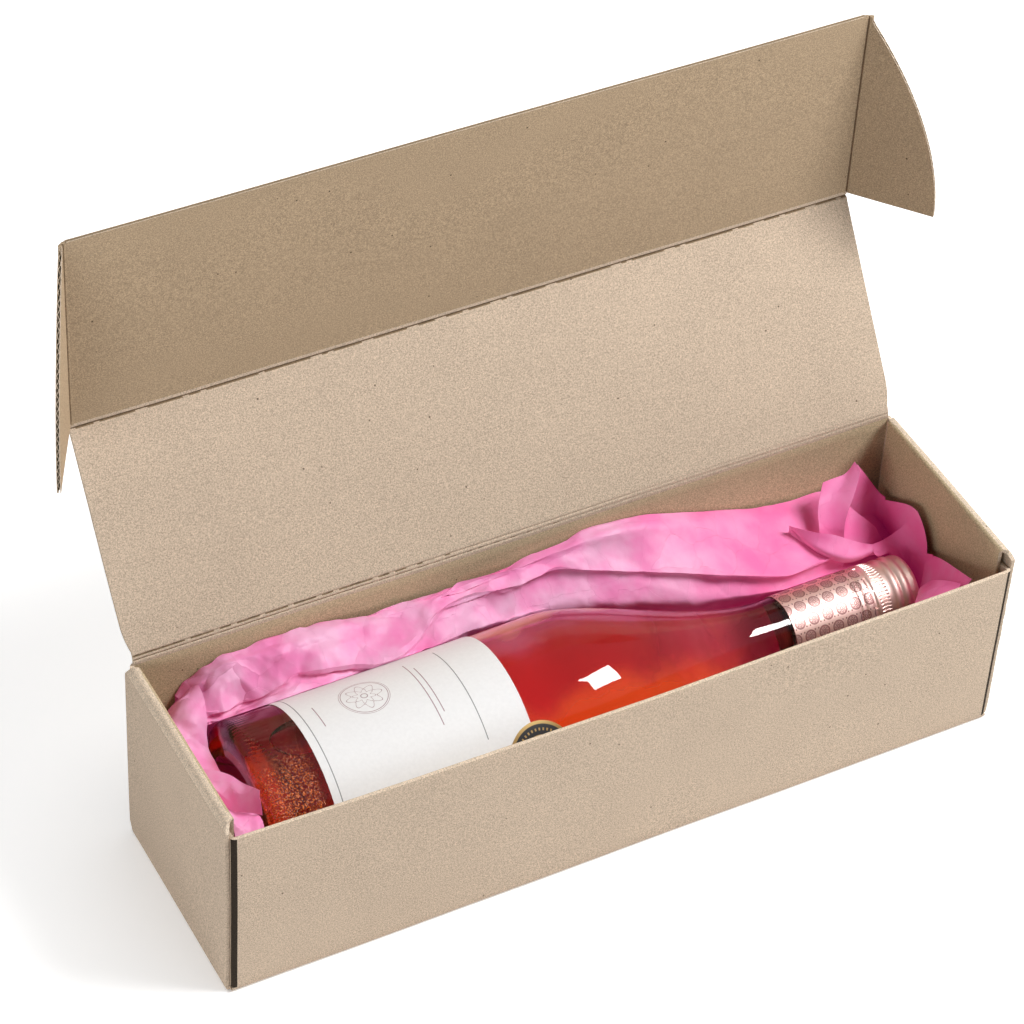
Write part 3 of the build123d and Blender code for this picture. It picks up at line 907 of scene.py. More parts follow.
def clear_of_bottle(points, gap):
    """Push points out of the bottle, away from its axis, to a gap outside its glass."""
    axis = np.array(bottle_way)
    from_base = points - np.array(bottle_base)
    along = from_base @ axis
    out = from_base - np.outer(along, axis)
    radius = np.linalg.norm(out, axis=1)
    wanted = np.interp(along, profile_s, profile_r) + gap
    inside = (along > -gap) & (along < full_length + gap) & (radius < wanted)
    scale = np.where(inside, wanted / np.maximum(radius, 1e-6), 1)
    return np.array(bottle_base) + np.outer(along, axis) + out * scale[:, None]


print("bottle:", round(body_radius / mm, 1), "mm round its axis")

# %% Crumple paper into facets
wall_gap = 0.4 * mm
inner_end = outer_end - end_wall - wall_gap
inner_front = front_face + board + wall_gap
inner_back = back_face - board - wall_gap
paper = 0.12 * mm


def facets(u, v, cell, seed):
    """A field of flat facets of one size, between -1 and 1, over flat paper's u and v."""
    draw = np.random.default_rng(seed)
    bend_u, bend_v = draw.uniform(0, 6, 2)
    u, v = (u + 0.3 * cell * np.sin(v / cell * 1.1 + bend_u),
            v + 0.3 * cell * np.sin(u / cell * 0.9 + bend_v))
    a, b = u / cell + 0.58 * v / cell, 1.15 * v / cell
    i, j = np.floor(a).astype(int), np.floor(b).astype(int)
    fa, fb = a - i, b - j
    heights = draw.uniform(-1, 1, (64, 64))

    def at(di, dj):
        return heights[(i + di) % 64, (j + dj) % 64]

    lower = fa > fb
    corner = np.where(lower, at(1, 0), at(0, 1))
    return (at(0, 0) * (1 - np.maximum(fa, fb)) + corner * np.abs(fa - fb)
            + at(1, 1) * np.minimum(fa, fb))


def read(mesh, key):
    """A vector of every vertex, one in a row."""
    values = np.empty(len(mesh.vertices) * 3)
    mesh.vertices.foreach_get(key, values)
    return values.reshape(-1, 3)


print("room inside:", round(2 * inner_end / mm, 1), "mm")


# %% Shape one sheet
def crumpled(name, rows, creases=(), corners=(), depth=1.0, seed=1, levels=3, replaces=(),
             gap=0.5 * mm):
    """A sheet of tissue through rows of points in millimetres, with sharp rows and corners."""
    columns = len(rows[0]) - 1
    cage = np.array(rows) * mm
    flat = (float(np.linalg.norm(np.diff(cage, axis=1), axis=2).sum(axis=1).mean()),
            float(np.linalg.norm(np.diff(cage, axis=0), axis=2).sum(axis=0).mean()))

    def place(row, column):
        return (Vector(rows[row][column]) * mm,
                (flat[0] * column / columns, flat[1] * row / (len(rows) - 1)))

    piece = lay(name, len(rows) - 1, columns, place, tissue_paint, warped=False)
    mesh = piece.data
    if creases:
        sharp = mesh.attributes.new("crease_edge", "FLOAT", "EDGE")
        for edge in mesh.edges:
            first, second = (i // (columns + 1) for i in edge.vertices)
            if first == second and first in creases:
                sharp.data[edge.index].value = creases[first]
    if corners:
        sharp = mesh.attributes.new("crease_vert", "FLOAT", "POINT")
        for row, column in corners:
            sharp.data[row * (columns + 1) + column].value = 1.0
    apply(piece, "SUBSURF", levels=levels, render_levels=levels,
          boundary_smooth="PRESERVE_CORNERS")
    mesh = piece.data
    points, normals = read(mesh, "co"), read(mesh, "normal")
    uv = np.zeros((len(points), 2))
    layer = mesh.uv_layers.active
    for loop in mesh.loops:
        uv[loop.vertex_index] = layer.data[loop.index].uv
    u, v = uv[:, 0], uv[:, 1]
    busy = np.interp(points[:, 0], (-0.15, -0.05, 0.02, 0.06), (1.0, 0.9, 0.5, 0.3))
    height = (facets(u * 0.6, v, 0.034, seed) * 2.4
              + facets(u, v, 0.017, seed + 1) * 2.1 * busy
              + facets(u, v, 0.0082, seed + 2) * 1.25 * busy
              + facets(u, v, 0.0041, seed + 3) * 0.5 * busy ** 2) * depth * mm
    points = points + normals * height[:, None]
    points = clear_of_bottle(points, gap)
    points[:, 0] = np.clip(points[:, 0], -inner_end, inner_end)
    points[:, 1] = np.clip(points[:, 1], inner_front, inner_back)
    points[:, 2] = np.maximum(points[:, 2], board + 0.3 * mm)
    mesh.vertices.foreach_set("co", points.ravel())
    mesh.update()
    length = max(flat[0], 11 * mm)
    flat = (length, sum(face.area for face in mesh.polygons) / length)
    apply(piece, "SOLIDIFY", thickness=paper, offset=0)
    smooth(piece, 20)
    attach(piece, "tray")
    if replaces:
        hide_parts(*replaces)
    print(name, [round(v / mm) for v in flat], "mm flat,", len(mesh.polygons), "faces")


# %% Read a cage
def cage(text):
    """Points in millimetres: a comma parts two points, and a semicolon two rows."""
    return [[tuple(float(v) for v in point.split()) for point in row.split(",")]
            for row in text.split(";")]


stations = np.linspace(-152, 163, 64)


def along_box(text):
    """A line of folded paper through its marked places, at every station along the box."""
    keys = np.array(cage(text)[0])
    return np.stack([stations, np.interp(stations, keys[:, 0], keys[:, 1]),
                     np.interp(stations, keys[:, 0], keys[:, 2])], axis=1)


print("stations:", len(stations))

# %% Hang the large sheet
top = along_box("""
    -153.5 44.5 66.5, -146.5 44.5 76, -140.5 44.5 81, -136 44.5 83, -125.5 44.5 82,
    -119.5 44.5 82.5, -97.5 44.5 80, -91 44.5 82, -71.5 44.5 80.5, -47 44.5 81, -12 44.5 81,
    15 44.5 83.5, 28.5 44.5 85, 51.5 44.5 82, 80.5 44.5 72.5, 99.5 44.5 67, 125.5 44.5 63,
    139 44.5 63, 152 44.5 58, 163 44.5 50""")
lip = along_box("""
    -142 27 70, -131.5 28 69, -123 28 69.5, -116 27 72.5, -102.5 29 75.5, -85.5 28 73.5,
    -74.5 25 70.5, -63.5 25 72, -51 30 75.5, -46 33 79.5, -30.5 34 79, -7.5 35 77, 9.5 35 78.5,
    21.5 31 76, 37 27 72.5, 58 21 68.5, 78 16 63.5, 103.5 10 57.5, 121.5 10 58.5, 130 12 57.5,
    145 20 52, 163 24 44""")
lower = along_box("""
    -142 30 66, -104.5 33 67, -87.5 33 64, -70 33 62, -48 33 65, -30 34 66.5, -6.5 36 63,
    12.5 38 66, 23.5 33 63, 38 28 61, 58.5 22 57, 79.5 18 53, 106.5 15 47.5, 130 17 46, 150 18 43,
    163 16 42""")
touch = along_box("""
    -150 27 66, -8 27 67, 24 22 62, 54 15 55, 90 10 51, 140 10 49, 150 8 42, 163 8 42""")
side = along_box("""
    -150 37 42, -8 37 42, 30 34 40, 60 26 34, 90 22 32, 145 22 30, 154 0 40, 163 0 41""")
foot = along_box("""
    -150 34 8, -8 34 8, 30 24 10, 60 14 16, 90 8 21, 145 6 20, 154 -10 34, 163 -10 38""")
under = along_box("""
    -150 8 2.2, -8 8 2.2, 30 4 4, 60 0 12, 90 -6 19, 145 -6 19, 154 -20 30, 163 -20 34""")
ahead_of = along_box("""
    -150 -25 2.2, -8 -25 2.2, 30 -22 6, 60 -22 12, 90 -22 17, 145 -24 20, 154 -32 27,
    163 -32 30""")
brim = along_box("""
    -150 -42 3, -8 -42 5, 30 -42 12, 60 -43 18, 90 -43 22, 145 -43 24, 154 -44 26, 163 -44 28""")
shelf = top + (0, -5.5, 0.3)
slope = top * 0.45 + lip * 0.55 + (0, 1.2, 1.2)
slope[:, 0] = stations
deep = lip + (0, 2.5, -3.5)
lower = lower + (0, -6.5, 2.0)
hang = top - (0, 0, 9)
hang[:, 1] = 45
crumpled("tissue_back", [[tuple(p) for p in row] for row in
                         (hang, top, shelf, slope, lip, deep, lower, touch, side)],
         creases={1: 0.8, 4: 0.95, 2: 0.3}, replaces=("tissue_paper",), seed=11)
crumpled("tissue_under", [[tuple(p) for p in row[::3]] for row in
                          (side, foot, under, ahead_of, brim)], levels=2, seed=15)

# %% Wrap the base
crumpled("tissue_left", cage("""
    -165 43 56, -160 44.5 58, -156 44.5 61, -151 44.5 68, -145 44 77;
    -165 34 64, -160 34 70, -156 33 75, -151 33 77, -144 34 75;
    -163 23 74, -160 24 72, -158 24.5 72, -153 23 74.5, -149 21.5 67;
    -163 15.5 74, -160 18.5 70, -158 21 68, -153 19.5 65.5, -149 17.5 61.5;
    -163 1.5 74.5, -160 6.5 69, -157 11.5 63, -153 12 61.5, -149 13.5 56;
    -163 -10 75, -160 -7 69.5, -157 -4 64, -153 -2.5 59, -150 -3 61;
    -163 -22.5 74.5, -161 -22 73.5, -158 -19.5 69, -154 -19 68.5, -150 -18.5 67;
    -162 -29.5 73, -160 -30.5 70.5, -157 -29 69, -153 -27.5 69, -149.5 -26 69;
    -162 -34.5 65, -160 -35.5 65, -157 -34.5 64.5, -153 -33 64.5, -149.5 -32.5 65.5;
    -162 -42 50, -160 -42 50, -157 -42 50, -153 -42 50, -149.5 -40 50;
    -162 -44 20, -160 -44 20, -157 -44 20, -153 -44 20, -149.5 -42 20"""), depth=0.8, seed=21)
crumpled("tissue_strip", cage("""
    -162 10 64, -157 7 66.5, -150.5 -2.5 69.5, -149 -10 71, -148.5 -17.5 76.5, -148 -23.5 80;
    -162 6 64, -158 4 66, -154 -8.5 69.5, -152 -16.5 72.5, -150 -21 76, -148.5 -25 78;
    -162 0 66, -159 -0.5 68.5, -157 -13 68, -153.5 -19.5 69.5, -150.5 -22 73, -148.5 -25.5 77.5;
    -162 -6 63, -159 -6.5 66, -157.5 -17 66.5, -154 -21.5 68.5, -151 -24 70, -148.5 -27 70"""),
         creases={2: 1.0}, depth=0.35, seed=31, gap=0.8 * mm)

# %% Twist the end beyond the cap
twist = {
    "tissue_leaf": """
        132.7 36 76.6, 139.1 36 77.2, 143.6 35 77.4, 147.6 36 82.4, 147.4 31 81.6;
        129 32 71.6, 133.5 31 70.7, 136.9 29 72.2, 140.7 27 74.7, 142.8 26 75.8;
        126.6 28 67.6, 129.9 26 68, 132.8 24 69.1, 135.7 22 70.8, 136.9 21 71.8;
        124 22 64.8, 127 21 63.4, 129.8 20 62.5, 132 19 63.1, 133.6 18.5 65.1;
        124.1 20 58, 127.1 19 56.6, 129.5 18 55.3, 131.7 17 55.9, 133.9 17 57.3""",
    "tissue_back_petal": """
        148 35 81.8, 153.6 36 73.2, 158.6 37 65.4, 162.2 36.5 59.5, 162.2 31.2 61;
        147.4 33 69.2, 153.5 35 61.7, 157.7 36 56.4, 161.7 36 52.5, 162.2 30.7 55.2;
        144.9 31 60.6, 151.1 32 55, 156.4 33 49.2, 160.2 33 46, 162.2 30.1 47.1;
        143.6 30 50.6, 149.7 31 45.6, 155.2 31 41.1, 159.6 31 37.6, 162.2 28.9 37.8""",
    "tissue_inner_petal": """
        141.6 27 67.3, 145.6 27 62.3, 148.8 26 58.8, 152.3 26 54.6, 154.8 25 51.6;
        137.1 23 64.9, 141.8 23.5 60.4, 145.9 23 56.3, 150.4 23 51.7, 155.6 23 49;
        132.4 18.5 61.1, 137.5 18 56.7, 143 17.5 52.6, 149.9 19 47.9, 156.7 21 46.3;
        131 16.5 54.9, 136.6 15.5 51.2, 142.8 15.5 48.7, 149.5 17 44.7, 156.4 19 42.4""",
    "tissue_right_petal": """
        162.2 31.2 59.3, 162.2 22.4 65.4, 162.2 14.8 70.4, 162.2 10 71.7, 162.2 7.3 70.7;
        162.2 31.2 51.9, 162.2 24.4 57.1, 162.2 17.8 62.3, 162.2 12.4 65.8, 162.2 9.8 66.3;
        162.2 30.3 44.1, 162.2 25.3 50.1, 162.2 19.4 55.7, 162.2 15.4 58.6, 162.2 14 59.3;
        162.2 29.6 37.2, 162.2 26.5 41.6, 162.2 22.1 46.6, 162.2 19.7 49.8, 162.2 17.9 52.5;
        162.2 26.7 27.5, 162.2 23.1 33, 162.2 18.2 39.6, 162.2 15.5 44.9, 162.2 13.3 49.1""",
    "tissue_collar": """
        112.5 27.5 67.1, 116.8 23 67.1, 121.6 19 67.1, 125.7 16.5 67.2, 129.3 14.5 66.4,
        133.5 13 64, 137.7 11.5 61.7, 141.8 11.5 59.4, 145.3 12.5 57.4;
        113.1 27.5 66.1, 117.6 21.5 64.4, 121.3 16.5 63.9, 125 13 63.5, 128.7 11 62.4,
        132.6 10 60.5, 137.4 10 58.6, 141.2 10.5 57.7, 143.5 10 57.8;
        114 27.5 64.6, 117 21 62.8, 119.8 14.5 62.9, 122.7 10.5 61.8, 126.6 8 60.4, 131.3 7.5 58.4,
        136.2 7.5 57.5, 140.2 8.5 57.3, 143.1 8.5 57;
        115.3 27.5 61.8, 115.9 22 61.3, 118.6 16 60.1, 122.7 12 58, 127.6 9.5 55.9, 132.4 9 53.5,
        138.2 9 53.1, 142.3 9.5 53.6, 144.9 9 53.6;
        120 30.5 52.8, 121.3 25.5 53.2, 124.3 20.5 51.3, 127.9 17.5 49.9, 132.7 15.5 48.2,
        136.9 15 47, 142.2 15 47.1, 145.9 15 47.9, 148.6 14 48.8""",
    "tissue_collar_end": """
        145.1 12.5 57.4, 151.2 15 54.3, 159.3 18.5 52.4, 162.2 14.5 60.4, 162.2 9.5 71.9;
        143.5 10 57.8, 151.5 12 53.9, 160.1 15 50.7, 162.2 10.1 59.2, 162.2 5.1 69.5;
        143.2 8.5 56.7, 151.7 9.5 52.1, 160.7 12 47.4, 162.2 5.5 55.9, 162.2 1 64.9;
        144.1 8 54.8, 152.2 7.5 49.6, 160 8 44.9, 162.2 3 48.3, 162.2 -2 58.6;
        146.7 8.5 51.8, 153 7.5 47.6, 159.2 6.5 43.9, 162.2 2.1 44.3, 162.2 -2.7 46.9""",
    "tissue_under_collar": """
        113 28 66, 115.9 23.5 61.1, 119.9 18.5 57.9, 124.9 14.5 55.7, 132.3 12.5 52.2;
        114 29 59.9, 116.2 24.5 55, 119.1 20 52.1, 123.4 15.5 49.8, 131.1 12 47.4;
        113.7 30 55.2, 115.5 25.5 49.9, 117.6 22 46.4, 120.8 18 43.4, 126.6 13 42;
        115 32 50.1, 116.6 28 44.4, 118.3 24.5 41, 121.4 21 37.7, 128 17 35""",
    "tissue_lobe": """
        162.2 -1.5 57.4, 162.2 -9.4 62.2, 161 -19 67.1, 158.3 -30 73.4, 154.6 -42 81.4;
        161.9 -2 52.3, 160.7 -11 57.9, 158.6 -21 64.7, 155.7 -32 72.3, 153.5 -42 79.3;
        158.8 -6 49.7, 157.8 -14 54.9, 155.1 -24 62.6, 152.9 -34 70.2, 150.8 -43 76.9;
        153.3 -12 48.2, 152.3 -20 53.4, 150.9 -29 59.8, 149.8 -37 65.2, 148.8 -44 70.2""",
    "tissue_leaflet": """
        152.2 -13 51.5, 152.9 -16 57, 153 -21 63.6, 153.3 -29 69.5, 151.9 -39 77.3;
        144.9 -21 56.8, 145.9 -25 62.8, 147.1 -30 68.5, 148 -35 73.1, 147.9 -42 78.9;
        135.1 -32 65.7, 135.8 -36 71.2, 137.3 -40 75.9, 139.6 -43 79.3, 144.1 -44.5 81""",
    "tissue_behind_cap": """
        154.1 16 46, 161 14 43.2, 162.2 5.1 50.5, 162.2 -6.3 61.1;
        152.4 11 43, 159.1 8 40.6, 162.2 1.9 43.6, 162.2 -8.5 51.7;
        152.5 4 38.8, 155.6 -1 39.7, 156.4 -8 43.9, 157.6 -15 48.5;
        153 -2 33, 150.7 -11 40.3, 148.3 -20 47.7, 147.9 -27 53""",
}
for turn, (name, points) in enumerate(twist.items()):
    crumpled(name, cage(points), corners=((0, 3),) if name == "tissue_leaf" else (), depth=0.35,
             seed=41 + 7 * turn)

# %% [markdown]
# ## Bottle and wine
#
# Glass shows what it refracts, so the wall needs its true inside as well as its outside. A turned
# shape is a grid whose columns go round an axis, closed by merging its seam and its poles. The
# wine's skin lies a hair inside the glass: light then bends at both skins together, as it does
# where the two really touch. The heel has a fine knurl for the glassmaker's belt.

# %% Turn a shape round the bottle's axis
bottle_side = Vector((-bottle_way.y, bottle_way.x, 0))
bottle_up = Vector((0, 0, 1))


def on_bottle(s, radius, angle):
    """The point a distance s from the base, at a radius, and at an angle from the top."""
    return (bottle_base + bottle_way * s
            + (bottle_up * math.cos(angle) + bottle_side * math.sin(angle)) * radius)


def turned(name, profile, turns, paint, swell=None, lining=None, lined_from=0):
    """A shape of revolution from (s, radius) in millimetres; swell(s, radius, angle) moves it out.

    Faces beyond the profile's point lined_from take the lining's paint instead.
    """
    def place(row, column):
        s, radius = profile[row]
        angle = 2 * math.pi * (column % turns) / turns
        extra = swell(s, radius, angle) if swell and radius else 0
        return on_bottle(s * mm, (radius + extra) * mm, angle), (s * mm, angle * radius * mm)

    piece = lay(name, len(profile) - 1, turns, place, paint, warped=False)
    if lining:
        piece.data.materials.append(lining)
        for face in piece.data.polygons:
            if min(face.vertices) // (turns + 1) >= lined_from:
                face.material_index = 1
    only(piece)
    bpy.ops.object.mode_set(mode="EDIT")
    bpy.ops.mesh.select_all(action="SELECT")
    bpy.ops.mesh.remove_doubles(threshold=1e-6)
    bpy.ops.object.mode_set(mode="OBJECT")
    outwards(piece)
    smooth(piece, 50)
    return piece


print("bottle's axis:", [round(v, 4) for v in bottle_way])


# %% Draw lines and arcs
def arc(centre, radius, start, end, steps):
    """Points of an arc, with its angles in degrees."""
    return [(centre[0] + radius * math.cos(math.radians(start + (end - start) * i / steps)),
             centre[1] + radius * math.sin(math.radians(start + (end - start) * i / steps)))
            for i in range(steps + 1)]


def straight(start, end, steps):
    """Points between two ends, without the ends."""
    return [(start[0] + (end[0] - start[0]) * i / steps,
             start[1] + (end[1] - start[1]) * i / steps) for i in range(1, steps)]


print("a quarter arc:", len(arc((0, 0), 1, 0, 90, 7)), "points")

# %% Draw the bottle's section
glass_wall = 2.8
body = body_radius / mm
neck = neck_radius / mm
heel = 6.0
body_end = shoulder_start / mm
heel_inside = 16.0              # where the inside starts to round towards the foot
punt_depth, punt_radius = 20.0, 27.0
knurl_from, knurl_to = 2.2, 7.0
knurl_count = 110
ridge_height = 0.3
stipple_size = 1.1


def punt(base, foot, steps=26):
    """The hollow of the base, from its top on the axis down to its rim."""
    return [(base + punt_depth * math.cos(math.pi / 2 * (t ** 1.15)), foot * t)
            for t in np.linspace(0, 1, steps + 1)]


def shoulder_inset(inset):
    return [(s / mm, r / mm - inset) for s, r in shoulder_curve]


def inner_wall(grown=0.0):
    """The inside from the neck down to the top of the punt, or a skin grown into the glass."""
    wall_radius = body - glass_wall + grown
    return (shoulder_inset(glass_wall - grown)[::-1]
            + straight((body_end, wall_radius), (heel_inside, wall_radius), 20)
            + [(bezier(heel_inside, glass_wall, glass_wall, glass_wall, t) - grown,
                bezier(wall_radius, wall_radius, floor_foot + 5, floor_foot, t))
               for t in np.linspace(0, 1, 14)]
            + punt(glass_wall - grown, floor_foot)[::-1])


floor_foot = punt_radius + glass_wall
outside = (punt(0, punt_radius) + straight((0, punt_radius), (0, body - heel), 3)
           + arc((heel, body - heel), heel, 180, 90, 12)
           + straight((heel, body), (body_end, body), 24)
           + shoulder_inset(0) + [(279.8, neck), (279.8, 13.0), (297.0, 13.0), (297.5, 12.5)])
inside = ([(297.5, 9.8), (297.2, 9.3), (275.5, 9.3), (275.5, neck - glass_wall)] + inner_wall())
print("section:", len(outside), "points outside,", len(inside), "inside")


# %% Press the heel's ridges and stipple
def heel_knurl(s, radius, angle):
    """Fine upright ridges round the heel."""
    if s > knurl_to or radius < body - glass_wall:
        return 0
    share = math.sin(math.pi * min(max((s - knurl_from) / (knurl_to - knurl_from), 0), 1))
    return ridge_height * share * math.sin(knurl_count * angle + 1.4 * s)


def stipple(s, radius, angle):
    """The knurled heel outside, and a stippled foot inside it that breaks up the light."""
    if s < glass_wall - 0.1 or radius > body - glass_wall + 0.1 or s > 22:
        return heel_knurl(s, radius, angle)
    if s > 12 or radius < punt_radius - 4:
        return 0
    spot = Vector((s / stipple_size, radius * math.cos(angle) / stipple_size,
                   radius * math.sin(angle) / stipple_size))
    return ridge_height * noise.noise(spot) * max(0, math.cos(angle + 0.9))


print("ridges round the heel:", knurl_count)


# %% Melt the glass
def lets_light_in(paint, clear):
    """Clear to the eye, and open to shadow and bounced rays, so that light gets in."""
    return paint.blend(
        paint.ray("Is Shadow Ray").maths("MAXIMUM", paint.ray("Is Diffuse Ray")), clear,
        paint.node("ShaderNodeBsdfTransparent", {}, {"Color": (0.96, 0.97, 0.96, 1)}))


glass = Paint("clear_glass")
glass_paint = glass.finish(lets_light_in(glass, glass.surface(
    Base_Color=(0.97, 0.99, 0.98, 1), Roughness=0.0, IOR=1.5, Transmission_Weight=1.0)))
wet = Paint("wet_glass")      # the inside: painted glints in the heel, a painted glow in the punt
where = wet.place()
along, across, height = wet.parts(where)
from_axis = wet.polar(across - bottle_base.y, height - bottle_base.z)[0]
in_heel = (1 - along.step(-0.128, -0.118)) * (1 - across.step(-0.022, -0.002))
in_punt = (1 - from_axis.step(0.0288, 0.0300)) * (1 - along.step(-0.121, -0.118))
# bright orange speckles in the heel are painted glints
glint_speckle = wet.noise(where, 1500, 3)
painted_glint_surface = wet.surface(
    Base_Color=wet.mix(glint_speckle.step(0.45, 0.66), (0.16, 0.006, 0.004, 1), (1.0, 0.22, 0.03, 1)),
    Roughness=0.25, Specular_IOR_Level=0.8, Normal=wet.bump(glint_speckle, 0.001, 0.9))
# an orange-red glow painted into the punt
painted_punt_glow = wet.surface(Base_Color=(0.85, 0.07, 0.015, 1), Roughness=0.4, Specular_IOR_Level=0.2)
clear_skin = wet.node("ShaderNodeBsdfRefraction", {}, {
    "Color": (1, 1, 1, 1), "Roughness": 0.0, "IOR": 1.5})
with_painted_glints = wet.blend(in_heel * glint_speckle.step(0.36, 0.62) * 0.8, clear_skin, painted_glint_surface)
wet_paint = wet.finish(lets_light_in(wet, wet.blend(in_punt * 0.45, with_painted_glints, painted_punt_glow)))
print("glass:", glass_paint.name, wet_paint.name)

# %% Blow the bottle
bottle = turned("bottle", outside + inside, 330, glass_paint, stipple, wet_paint, len(outside))
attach(bottle, "tray")
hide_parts("glass_bottle")
print("bottle:", len(bottle.data.polygons), "faces")

# %% Fill in the wine
skin = 0.25      # how far the wine's skin lies inside the glass
wine_end = 239.0
fill = ([(wine_end, 0), (wine_end, neck - glass_wall + skin)]
        + [point for point in inner_wall(skin) if point[0] < wine_end])
wine_turns = 128
bubble_place, bubble_size = 27 * mm, (15 * mm, 9 * mm, 5 * mm)
print("fill:", len(fill), "points")

# %% Colour the wine
rose = Paint("rose_wine")
where = rose.place()
along, across, _ = rose.parts(where)
flame = rose.noise(where, 26, 4) - 0.5
across = across + flame * 0.035 + 0.004
# painted veil: an orange-red glow at the front, then dark red, mauve and a tan reflection behind
painted_front_glow = rose.mix(across.step(-0.024, -0.010), (1.0, 0.11, 0.015, 1), (0.42, 0.012, 0.03, 1))
with_painted_mauve = rose.mix(across.step(-0.002, 0.010), painted_front_glow, (0.46, 0.11, 0.24, 1))
with_painted_tan = rose.mix(across.step(0.014, 0.021), with_painted_mauve, (0.85, 0.42, 0.30, 1))
painted_haze_surface = rose.surface(Base_Color=with_painted_tan, Roughness=0.5, Specular_IOR_Level=0.0)
clear_wine = rose.node("ShaderNodeBsdfRefraction", {}, {
    "Color": (1, 1, 1, 1), "Roughness": 0.0, "IOR": 1.34})
# how much painted veil lies over the clear wine, most at the front and the back
painted_haze_share = 0.10 + (1 - across.step(-0.022, -0.010)) * 0.38 + across.step(0.002, 0.020) * 0.5
rose_paint = rose.finish(
    lets_light_in(rose, rose.blend(painted_haze_share * along.step(-0.120, -0.105), clear_wine, painted_haze_surface)),
    rose.node("ShaderNodeVolumeAbsorption", {},
              {"Color": (0.975, 0.13, 0.05, 1), "Density": 33.0}))
print("wine:", rose_paint.name)

# %% Pour it round a bubble
wine = turned("rose_wine", fill, wine_turns, rose_paint)
bpy.ops.object.select_all(action="DESELECT")
bpy.ops.mesh.primitive_uv_sphere_add(segments=48, ring_count=24, radius=1)
bubble = bpy.context.object
bubble.data.transform(Matrix.Translation(on_bottle(bubble_place, (body - glass_wall) * mm, 0))
                      @ Matrix.Diagonal((*bubble_size, 1)))
apply(wine, "BOOLEAN", object=bubble, operation="DIFFERENCE")
bpy.data.objects.remove(bubble)
smooth(wine, 40)
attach(wine, "tray")
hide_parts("wine")
print("wine:", len(wine.data.polygons), "faces")

# %% [markdown]
# ## Label, seal and cap
#
# The label stays free of words: a ring of petals and a few thin rules stand where a printer would
# put a design. Each pattern is a formula on the piece's own map in metres, so a line keeps its
# width wherever it runs.

# %% Wrap the label
label_from, label_to = 24.7 * mm, 109.7 * mm
label_radius = body_radius + 0.13 * mm
label_half = math.radians(175 / 2)
label_middle = math.radians(-5)
label_corner = 3.0 * mm
label_rows, label_columns = 60, 72


def label_place(row, column):
    t = row / label_rows
    s = label_from + (label_to - label_from) * (0.5 - 0.5 * math.cos(math.pi * t))
    edge = min(s - label_from, label_to - s)
    span = label_half * label_radius - rounding(label_corner, edge)
    v = span * (2 * column / label_columns - 1)
    return on_bottle(s, label_radius, label_middle + v / label_radius), (s - label_from, v)


print("label:", round((label_to - label_from) / mm, 1), "mm along the bottle")

# %% Draw the label's design
white = Paint("label_paper")
printed = white.node("ShaderNodeTexCoord", output="UV")
along, around, _ = white.parts(printed)
ink = colour(122, 40, 62)
dark_ink = colour(60, 56, 58)


def ring(size, width):
    return radius.line(size, width * 0.5, width * 1.3)


def rule(u, v, length):
    """A thin rule round the bottle, at a place along it."""
    return (along.line(u, 0.00012, 0.00026)
            * around.line(v, length / 2, length / 2 + 0.0002))


rosette_u, rosette_v = 0.030, 0.0105
du, dv = along - rosette_u, around - rosette_v
radius, angle = white.polar(du, dv)
petals = (angle * 8).cosine()
flower = ring(petals * 0.0012 + 0.0062, 0.00016)
inner_flower = ring(petals * -0.0009 + 0.0036, 0.00016)
rings = ring(0.0092, 0.00016) + ring(0.0099, 0.0001) + ring(0.0013, 0.00018)
design = (flower + inner_flower + rings).capped()
rules = rule(0.052, 0.004, 0.036) + rule(0.0545, 0.004, 0.026) + rule(0.0095, 0.008, 0.012)
frame_rules = rule(0.0665, 0.0, 0.05) + rule(0.0035, 0.0, 0.09)
sheet_tone = white.noise(white.place(), 700, 2)
face = white.mix(sheet_tone.step(0.2, 0.8), (0.82, 0.815, 0.815, 1), (0.86, 0.855, 0.855, 1))
face = white.mix(design * 0.75, face, ink)
face = white.mix(rules.capped() * 0.8, face, ink)
face = white.mix(frame_rules.capped() * 0.8, face, dark_ink)
label_paint = white.finish(white.surface(
    Base_Color=face, Roughness=0.6, Normal=white.bump(sheet_tone, 0.00004, 0.4)))
label = lay("paper_label", label_rows, label_columns, label_place, label_paint, warped=False)
outwards(label)
apply(label, "SOLIDIFY", thickness=0.12 * mm, offset=1)
smooth(label, 40)
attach(label, "tray")
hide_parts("label")
print("label:", len(label.data.polygons), "faces")

# %% Stick on the seal
seal_turn = math.radians(60.5)
seal_centre = on_bottle(110.6 * mm, body_radius, -seal_turn)
gold = Paint("black_and_gold_seal")
flat = gold.place(origin=tuple(seal_centre), turn=(seal_turn, 0, bottle_yaw))
su, sv, _ = gold.parts(flat)
seal_r, seal_a = gold.polar(su, sv)


def seal_ring(size, width):
    return seal_r.line(size, width * 0.5, width * 0.9)


rim = seal_r.step(0.0121, 0.0124)
beads = (seal_a * 40).cosine().step(0.1, 0.5) * seal_ring(0.0103, 0.0007)
dashes = (seal_a * 12).cosine().step(-0.2, 0.4) * seal_ring(0.0055, 0.00035)
boss = 1 - seal_r.step(0.0021, 0.0024)
marks = (rim + beads + seal_ring(0.0080, 0.00030) + dashes + boss).capped()
seal_paint = gold.finish(gold.surface(
    Base_Color=gold.mix(marks, colour(28, 28, 32), colour(201, 168, 112)),
    Metallic=marks * 0.85, Roughness=marks.between(0.5, 0.35)))
seal = frame["nodes"]["seal"]
seal.data.materials.clear()
seal.data.materials.append(seal_paint)
print("seal turned", round(math.degrees(seal_turn), 1), "degrees round the bottle")

# %% Draw the cap's section
cap_foot = cap_start / mm
sleeve = cap_radius / mm
thread = sleeve - 0.8


